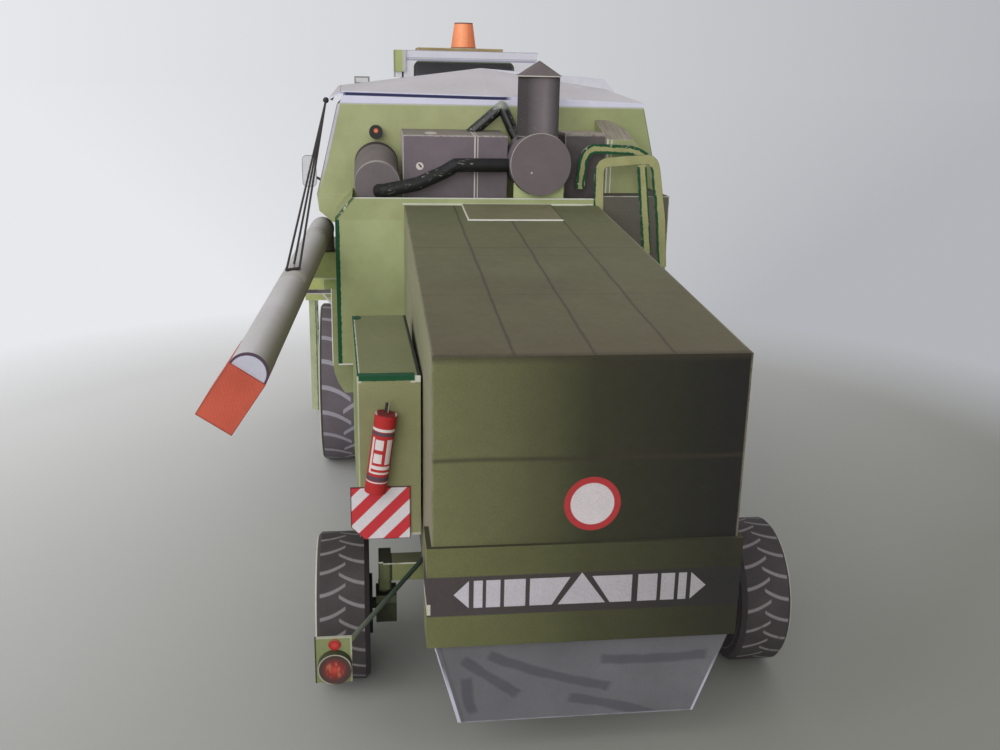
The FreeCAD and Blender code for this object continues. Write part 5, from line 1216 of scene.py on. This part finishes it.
def rounded(b, a, low_a, high_a, c, low_c, high_c, corner):
    """Distance outside a rounded box, in mm: the length of how far a point lies past the inner box,
    minus the corner's radius."""
    da = (abs(a - (low_a + high_a) / 2) - ((high_a - low_a) / 2 - corner)).maths("MAXIMUM", 0)
    dc = (abs(c - (low_c + high_c) / 2) - ((high_c - low_c) / 2 - corner)).maths("MAXIMUM", 0)
    return b.radius(da, 0, dc, 0) - corner


def cab_drawing(b):
    rear, side, front = b.rear, b.sides, b.facing("front")
    b.colour = b.uneven(20, (204, 204, 208), (194, 193, 196))
    b.lay(b.under(b.z, CAB_WAIST), green_card(b))
    b.lay(b.over(b.z, 163.2) * rear, (150, 148, 152))
    b.lay(b.line(b.z, 163.0, 0.25) * rear, (110, 116, 160))
    outline = rounded(b, b.x, WINDOW_RIGHT, WINDOW_LEFT, b.z, WINDOW_SILL, WINDOW_TOP, 2)
    b.lay(b.under(outline, 0.75) * rear, (56, 60, 50))
    b.lay(b.line(b.z, WINDOW_TOP + 0.55, 0.4) * b.under(outline, 0.9) * rear, (92, 98, 76))
    sides = rounded(b, b.s, 276, 317, b.z, WINDOW_SILL, WINDOW_TOP - 3, 2.5)
    b.lay(b.band(sides, -1.5, 0.9) * side * b.over(b.z, CAB_WAIST), (56, 60, 50))
    door = b.either(b.frame(b.s, 280, 318, b.z, 98.5, CAB_WAIST), b.line(b.z, CAB_WAIST + 0.4, 0.4)) * side
    b.lay(b.either(door, b.line(b.z, 104.5, 0.4) * front), SEAM)
    inside = b.either(b.under(abs(b.x - CAB_MIDDLE), CAB_INSIDE, 0.1) * side,
                      b.over(b.s, CAB_INSIDE_REAR, 0.1) * rear, b.under(b.s, CAB_INSIDE_FRONT, 0.1) * front)
    b.lay(inside, (132, 131, 140))


dress("cab_print", cab_drawing, "cab_shell", screen=0.6)

# %% Roof, hatch, base and beacon
def roof_drawing(b):
    b.colour = b.uneven(24, (196, 195, 198), (184, 183, 186))
    band = b.facing("rear", "left", "right", "front")
    b.lay(band, (199, 198, 207))
    top_line = b.over(b.z, 166.95) * band
    b.lay(b.either(top_line, b.line(b.z, 164.0, 0.25)) * 0.75, (108, 112, 128))
    b.lay(folds(b, "cab_roof", 0.2) * 0.3, (208, 208, 210))


def roof_hatch_drawing(b):
    b.colour = b.uneven(9, (150, 134, 98), (136, 120, 86))
    b.lay(folds(b, "roof_hatch", 0.22) * 0.7, (196, 188, 160))


def base_drawing(b):
    b.colour = green_card(b, (140, 150, 96), (124, 134, 82))
    lines = b.either(b.line(b.z, 88), b.frame(b.s, 268, 310, b.z, 80, 95) * b.sides)
    b.lay(lines, SEAM)
    b.lay(folds(b, "cab_base") * 0.7, DULL_PAPER)


def beacon_drawing(b):
    b.colour = b.mix(b.under(abs(b.x - 4.2), 2.6, 5), (222, 124, 80), (238, 156, 112))
    seam = b.line(b.x, 0.6, 0.25) * b.rear
    b.lay(seam * 0.5, (180, 84, 44))
    rim = b.either(b.over(b.z, 179.5), b.under(b.z, 169.3, 0.3))
    b.lay(rim, (122, 84, 68))


dress("roof_print", roof_drawing, "cab_roof", screen=0.5)
dress("roof_hatch_print", roof_hatch_drawing, "roof_hatch")
dress("base_print", base_drawing, "cab_base")
dress("beacon_print", beacon_drawing, "beacon", matt=0.65)

# %% Side unit, seat and steering column
def side_unit_drawing(b):
    b.colour = b.mix(b.rear * b.over(b.x, 31.6), (176, 174, 172), (160, 168, 112))
    b.lay(b.under(b.z, 158), (206, 206, 208))
    dark = b.line(b.x, 34.9, 0.4) * b.rear
    b.lay(dark, (110, 112, 90))
    lamp = b.over(b.x, 45.5)
    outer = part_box("cab_side_unit")[1].x / MM
    inside = b.box(b.x, 46.7, outer - 0.5, b.z, 153.1, 155.1, 0.3)
    lens = b.mix(inside * b.facing("rear", "front"), (110, 108, 106), (196, 195, 194))
    b.lay(lamp, lens)


def seat_drawing(b):
    b.colour = b.uneven(5, (58, 55, 54), (44, 42, 42), 0.5)
    seams = b.either(b.line(b.repeat(b.z, 7), 0.2), b.line(abs(b.x - CAB_MIDDLE), 6.5))
    b.lay(seams * 0.5, (110, 106, 100))


def column_drawing(b):
    b.colour = b.mix(b.over(b.noise(4), 0.5, 0.5), (50, 48, 47), (38, 37, 36))
    b.lay(folds(b, "steering_column") * 0.5, DULL_PAPER)


dress("side_unit_print", side_unit_drawing, "cab_side_unit")
dress("seat_print", seat_drawing, "driver_seat")
dress("column_print", column_drawing, "steering_column")

# %% [markdown]
# ## Mirrors, platform, ladder and fenders
# The mirrors are pale plates with a darker outline on wires.  The platform has a light green wall
# behind it with a small orange spot, and its tread is printed, as two sets of lines that cross.  The
# ladder has a pen stroke along its inner edge, and the fenders have a pale outer edge and one pale
# line.  All of it is thin card, for which a drawing in x, station and z is enough.

# %% Access and mirrors
MIRROR_X, MIRROR_WIDE = (70.8, 79.0), 6.4           # inner edge of the left and of the right plate
MIRROR_FOOT, MIRROR_TOP, MIRROR_CORNER = 106.3, 120.6, 2.2
PLATFORM_WALL = 264                 # station in front of the wall behind the platform


def mirror_drawing(b):
    plate = b.over(abs(b.x), MIRROR_X[0] - 0.2)
    near, far = [b.band(rounded(b, abs(b.x), x, x + MIRROR_WIDE, b.z, MIRROR_FOOT, MIRROR_TOP,
                                MIRROR_CORNER), -0.25, 1) for x in MIRROR_X]
    edge = b.either(near, far * b.under(b.x, 0)) * plate
    b.colour = b.mix(b.rear, (150, 150, 150), (204, 204, 210))
    b.lay(edge * b.facing("rear", "front"), (122, 123, 122))
    b.colour = b.mix(plate, (84, 84, 80), b.colour)


def platform_drawing(b):
    wall = b.under(b.s, PLATFORM_WALL)
    tread = b.either(louvres(b, b.x, 2.4, 0.2), louvres(b, b.s, 2.4, 0.2)) * b.top
    b.colour = b.mix(wall, (112, 112, 100),
                     b.mix(b.over(b.noise(9), 0.5, 0.5), (170, 176, 112), (156, 163, 102)))
    b.lay(tread * (1 - wall) * 0.6, (72, 72, 64))
    spot = b.under(b.radius(b.x, 74, b.z, 72.5), 0.7) * b.rear
    b.lay(spot, (196, 130, 70))
    b.lay(folds(b, "platform_left", 0.25) * 0.6, (204, 206, 180))


def ladder_drawing(b):
    b.colour = b.uneven(7, (178, 182, 148), (164, 170, 134), 0.5)
    pen = b.pen(b.x, 71.5, 72.5, 0.4) * b.rear
    b.lay(pen * 0.8, (46, 96, 82))


def fender_drawing(b):
    b.colour = green_card(b, (146, 156, 100), (128, 138, 84))
    b.lay(b.either(b.over(abs(b.x), 66.1), b.line(b.z, 76)) * 0.7, (186, 188, 170))


dress("mirror_print", mirror_drawing, "mirrors", screen=0.5, matt=0.6)
dress("platform_print", platform_drawing, "platform_left")
dress("ladder_print", ladder_drawing, "ladder_left")
dress("fender_print", fender_drawing, "fenders")

# %% [markdown]
# ## Handrails
# The hoops are strips of card cut out by hand, and their cut edges were gone over with the felt pen,
# thickly in some places and missed in others.  A bevelled curve would give such a strip with one even
# width.  Scissors don't cut so evenly, so the strip is worked out as a flat profile carried along a
# path, whose width wavers.  The path is given by its corners, which are rounded first.  The strip
# gets a UV map, with u across it and v along it in mm, so the pen can follow its edges.

# %% Paths and strips
def rounded_path(corners, cut=0.9, steps=5):
    """A path through corners, each replaced by a small curve: a point at parameter t on it is
    (1-t)^2 before + 2t(1-t) corner + t^2 after, where before and after lie a cut away from it."""
    corners = np.array(corners, float)
    t = np.linspace(0, 1, steps)[:, None]
    runs = np.diff(corners, axis=0)
    lengths = np.linalg.norm(runs, axis=1, keepdims=True)
    ways = runs / lengths
    reach = np.minimum(cut, np.minimum(lengths[:-1], lengths[1:]) * 0.45)
    before = corners[1:-1] - ways[:-1] * reach
    after = corners[1:-1] + ways[1:] * reach
    before, middle, after = (each[:, None] for each in (before, corners[1:-1], after))
    bends = (1 - t) ** 2 * before + 2 * t * (1 - t) * middle + t ** 2 * after
    return np.concatenate([corners[:1], bends.reshape(-1, 2), corners[-1:]])


def strip_surface(path, wide, thick, station, ragged=0.12, seed=1):
    """A flat strip in an upright plane.  Its four corners at each path point are the point plus or
    minus half the width along the path's normal, and half the thickness along the station.  The
    width swells and shrinks a little, by a sum of two sines, like a cut made with scissors."""
    way = np.gradient(path, axis=0)
    way /= np.linalg.norm(way, axis=1, keepdims=True)
    normal = np.stack([-way[:, 1], way[:, 0]], axis=1)
    run = np.concatenate([[0], np.cumsum(np.linalg.norm(np.diff(path, axis=0), axis=1))])
    phase = np.array([seed * 1.7, seed * 2.9])
    swell = ragged * (np.sin(run[:, None] * (0.55, 1.3) + phase).sum(axis=1) / 2)
    side = np.array([1, -1, -1, 1]) * 0.5
    deep = np.array([1, 1, -1, -1]) * 0.5
    spread = side[None, :] * (wide - ragged + swell[:, None])
    flat = path[:, None, :] + normal[:, None, :] * spread[:, :, None]
    y = np.full(flat.shape[:2], REAR - station - thick / 2) + deep[None, :] * thick
    points = np.stack([flat[..., 0], y, flat[..., 1]], axis=-1)
    return points, run, side


print("one rounded corner has", len(rounded_path(((0, 0), (9, 0), (9, 9)))) - 2, "points")

# %% Skins
def loft(points, run, across):
    """Join rings of points into a closed skin with flat ends: each wall face takes two neighbours of
    one ring and the same two of the next.  Gives points, faces and a UV pair for every point."""
    count, ring = points.shape[:2]
    index = np.arange(count * ring).reshape(count, ring)
    near, far = index[:-1], index[1:]
    walls = np.stack([near, np.roll(near, -1, axis=1), np.roll(far, -1, axis=1), far], axis=-1).reshape(-1, 4)
    faces = walls.tolist() + [index[0][::-1].tolist(), index[-1].tolist()]
    values = np.stack([np.tile(across, count) + 0.5, np.repeat(run, ring)], axis=1)
    return points.reshape(-1, 3), faces, values


def build(name, *skins):
    """One object from several skins, with its place in its mesh."""
    mesh = bpy.data.meshes.new(name)
    starts = np.cumsum([0] + [len(skin[0]) for skin in skins])
    faces = [[i + start for i in face] for skin, start in zip(skins, starts) for face in skin[1]]
    mesh.from_pydata((np.concatenate([skin[0] for skin in skins]) * MM).tolist(), [], faces)
    values = np.concatenate([skin[2] for skin in skins])
    corners = np.empty(len(mesh.loops), int)
    mesh.loops.foreach_get("vertex_index", corners)
    mesh.uv_layers.new(name="strip").data.foreach_set("uv", values[corners].ravel())
    mesh.update()
    piece = bpy.data.objects.new(name, mesh)
    bpy.context.scene.collection.objects.link(piece)
    return piece


print("a box has", len(loft(np.zeros((2, 4, 3)), np.zeros(2), np.zeros(4))[1]), "faces")

# %% Handrails, shape
RAIL_WIDE, CARD = 3.5, 0.8
NEAR_STATION, FAR_STATION = 161.6, 168.4
NEAR_RAIL = ((-35.2, 111.0), (-34.9, 125.0), (-35.8, 127.2), (-37.6, 128.0), (-48.4, 128.9), (-53.2, 129.2),
             (-54.9, 127.9), (-55.9, 124.5), (-58.7, 107.1), (-60.2, 90.0))
RAIL_LEG = ((-50.45, 127.3), (-50.65, 125.6), (-54.1, 95.0))
FAR_RAIL = ((-29.4, 117.8), (-30.3, 128.0), (-31.5, 130.8), (-33.9, 132.3), (-47.5, 131.9), (-50.6, 131.1),
            (-53.8, 129.2))


def rail(corners, station, seed):
    path = rounded_path(corners)
    return loft(*strip_surface(path, RAIL_WIDE, CARD, station, seed=seed))


handrail = build("handrail_strips", rail(NEAR_RAIL, NEAR_STATION, 1), rail(RAIL_LEG, NEAR_STATION, 2),
                 rail(FAR_RAIL, FAR_STATION, 3))
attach(handrail, "machine")
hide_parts("handrails")
print("handrails:", len(handrail.data.polygons), "faces")

# %% Handrails, print
def rail_drawing(b):
    """Pale olive card whose edges carry pen strokes of a wandering width: u is across the strip."""
    u = b.parts(b.node("ShaderNodeUVMap", {"uv_map": "strip"}, {}))[0]
    b.colour = b.uneven(6, (154, 153, 108), (142, 142, 97))
    far = b.over(b.s, 165)
    near = 1 - far
    down = b.under(b.z, 126.5) * b.under(b.x, -45) * near
    leg = down * b.over(b.x + (127.3 - b.z) * 0.125, -53.2)
    post = b.under(b.z, 126) * b.over(b.x, -38) * near
    one = b.over(u, 0.5)
    wide = far * 0.33 + down * one * 0.3 + leg * (1 - one) * 0.2 + post * (1 - one) * 0.2
    wide = wide * (0.3 + b.noise(3.5, 3) * 1.1 + (b.noise(0.9, 3) - 0.5) * 0.5)
    edge = b.over(abs(u - 0.5) + wide, 0.5, 0.05)
    bits = b.patches(1.2, 0.62, 0.06) * b.patches(7, 0.5, 0.1)
    b.lay(edge * b.facing("rear", "front"), b.mix(bits, PEN_GREEN, (150, 154, 132)))
    thin = b.over(abs(u - 0.5), 0.47, 0.03) * b.rear
    b.lay(thin * 0.6, SHADE_LINE)
    rim = 1 - b.facing("rear", "front")
    white = b.patches(4, 0.56, 0.1)
    b.lay(rim, b.mix(white, PEN_GREEN, DULL_PAPER))


handrail.data.materials.append(printed("rail_pen", rail_drawing))
print("rail_pen on", handrail.name)

# %% [markdown]
# ## Two small sheets
# A pale cradle stands under the drum, cut round to take it, and a loose tab closes the right end of
# the fold between the two tank covers.  A disc could be cut out of a box, but two edges are simpler
# and leave clean faces: both sheets are flat, with a lower and an upper edge given at the same
# places.  The cradle's upper edge is the drum's circle: z = drum z - sqrt(r^2 - (x - drum x)^2).

# %% Cradle and tab
def panel(low, high, station, thick=0.4):
    """A flat sheet between two edges, each a row of x and z from the machine's right to its left.  A
    ring of four points at each place is joined to the next by the loft above."""
    low, high = np.array(low, float), np.array(high, float)
    ring = np.stack([high, low, low, high], axis=1)
    y = REAR - station + np.array([1, 1, -1, -1]) * thick / 2
    points = np.stack([ring[..., 0], np.broadcast_to(y, ring.shape[:2]), ring[..., 1]], axis=-1)
    return loft(points, low[:, 0], np.array([1, -1, -1, 1]) * 0.5)


CRADLE_FOOT, CRADLE_TOP, CRADLE_STATION = 111.2, 121.5, 164.5
CRADLE_REACH, CRADLE_GAP = 9.1, 0.3         # half its width, and what it leaves free round the drum
TAB_FOOT = ((-58.4, 146.6), (-50.4, 152.5), (1.4, 159.5))
TAB_TOP = ((-58.3, 147.0), (-50.4, 156.5), (1.4, 159.8))
TAB_STATION = 230
drum_x, drum_z, drum_radius = DRUM
across = np.linspace(drum_x - CRADLE_REACH, drum_x + CRADLE_REACH, 15)
inside = np.maximum((drum_radius + CRADLE_GAP) ** 2 - (across - drum_x) ** 2, 0)
rim = np.minimum(drum_z - np.sqrt(inside), CRADLE_TOP)
cradle = build("drum_cradle", panel(np.stack([across, across * 0 + CRADLE_FOOT], axis=1),
                                    np.stack([across, rim], axis=1), CRADLE_STATION))
tab = build("cover_tab", panel(TAB_FOOT, TAB_TOP, TAB_STATION))


def cradle_drawing(b):
    # Painted light: the cradle's green is printed paler than the body's, against the drum's shade.
    b.colour = green_card(b, (176, 184, 136), (164, 172, 122))
    b.lay(b.under(b.z, 112.6), DULL_PAPER)


def tab_drawing(b):
    b.colour = b.uneven(9, (204, 203, 210), (190, 189, 196))
    rising = b.z + b.x * 0.064
    marks = b.either(b.line(rising + (b.noise(5, 3) - 0.5) * 0.8, 157.0, 0.3), b.line(rising, 158.6, 0.2))
    b.lay(marks * b.patches(4, 0.5, 0.1) * 0.6, (108, 104, 116))


for piece, slot, sheet in ((cradle, "green_card", printed("cradle_print", cradle_drawing)),
                           (tab, "pale_grey_card", printed("tab_print", tab_drawing, screen=0.5))):
    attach(piece, "machine")
    piece.data.materials.append(sheet)
print("cradle and tab:", len(cradle.data.polygons), "and", len(tab.data.polygons), "faces")

# %% [markdown]
# ## Floor, light and hand-over
# The model stands on a plain pale surface that fades into a pale background.  A curved backdrop would
# show its bend from some sides, so the floor's material does it: with the distance from the model it
# turns from matt card grey to a glowing background colour, for what the camera sees, straight or in a
# reflection.  Both get paler towards the machine's left, where the window is.  The light is plain and
# soft, at a level where a colour shows as it was written: an even sky and three large lamps.

# %% Floor
FLOOR_DARK, FLOOR_PALE = (129, 130, 122), (214, 214, 213)
WALL_DARK, WALL_PALE = (178, 180, 185), (232, 233, 236)
FADE_START, FADE_END = 235.0, 350.0
FLOOR_REACH, FLOOR_CORNERS = 12.0, 128      # in metres, so that its edge is out of sight
SKY_LIGHT = (0.60, 0.60, 0.61, 1)


def rays(sheet, *kinds):
    """For each kind of ray, a value that is 1 for such a ray."""
    return [sheet.node("ShaderNodeLightPath", {}, {}, "Is " + kind + " Ray") for kind in kinds]


def wall_tone(sheet, sideways):
    """The background gets paler towards the machine's left: sideways is the x of a direction."""
    return sheet.mix(sheet.over(sideways, -0.12, 0.9), WALL_DARK, WALL_PALE)


angles = np.linspace(0, 2 * math.pi, FLOOR_CORNERS + 1)[:-1]
rim = np.stack([np.cos(angles), np.sin(angles), angles * 0], axis=1) * FLOOR_REACH
floor_mesh = bpy.data.meshes.new("floor")
floor_mesh.from_pydata(rim.tolist(), [], [list(range(FLOOR_CORNERS))])
floor = bpy.data.objects.new("floor", floor_mesh)
bpy.context.scene.collection.objects.link(floor)
board = Board("floor_tone")
away = board.radius(board.x, 0, board.s, REAR)
cloud = (board.noise(160, 3) - 0.5) * 60
tone = board.mix(board.over(board.x + board.s + cloud, 210, 540), FLOOR_DARK, FLOOR_PALE)
surface = {"Base Color": tone, "Roughness": 0.6, "Specular IOR Level": 0.2}
matt = board.node("ShaderNodeBsdfPrincipled", {}, surface)
far_tone = wall_tone(board, board.x / (away + 1))
glow = board.node("ShaderNodeEmission", {}, {"Color": far_tone, "Strength": 1.0})
seen = board.either(*rays(board, "Camera", "Glossy", "Transmission"))
fade = board.over(away, (FADE_START + FADE_END) / 2, FADE_END - FADE_START)
faded = board.node("ShaderNodeMixShader", {}, {0: fade * seen, 1: matt, 2: glow})
board.node("ShaderNodeOutputMaterial", {}, {0: faded})
floor.data.materials.append(board.material)
print("floor fades between", FADE_START, "and", FADE_END, "mm")

# %% Light
world = bpy.data.worlds.new("sky")
bpy.context.scene.world = world
world.use_nodes = True
sky = Sheet(world.node_tree)
sideways = sky.parts(sky.node("ShaderNodeTexCoord", {}, {}, "Generated"))[0]
behind = sky.mix(sky.either(*rays(sky, "Camera", "Glossy")), SKY_LIGHT, wall_tone(sky, sideways))
shine = sky.node("ShaderNodeBackground", {}, {"Color": behind})
sky.node("ShaderNodeOutputWorld", {}, {0: shine})


def lamp(name, size, watts, place, target=(0, 0, 0.06)):
    """A square lamp that looks at a target: its own z axis points back at the lamp from there."""
    light = bpy.data.lights.new(name, "AREA")
    light.size, light.energy = size, watts
    held = bpy.data.objects.new(name, light)
    bpy.context.scene.collection.objects.link(held)
    held.location = place
    held.rotation_euler = (Vector(place) - Vector(target)).to_track_quat("Z", "Y").to_euler()
    return held


lamp("window_light", 1.2, 11, (1.3, 0.9, 1.3))
lamp("rear_light", 1.2, 15, (0.5, 1.6, 0.6))
lamp("fill_light", 1.6, 4, (-0.9, -1.4, 0.9))
print("lamps:", [o.name for o in bpy.data.objects if o.type == "LIGHT"])

# %% View settings and sizes
scene = bpy.context.scene
scene.view_settings.view_transform = "Standard"
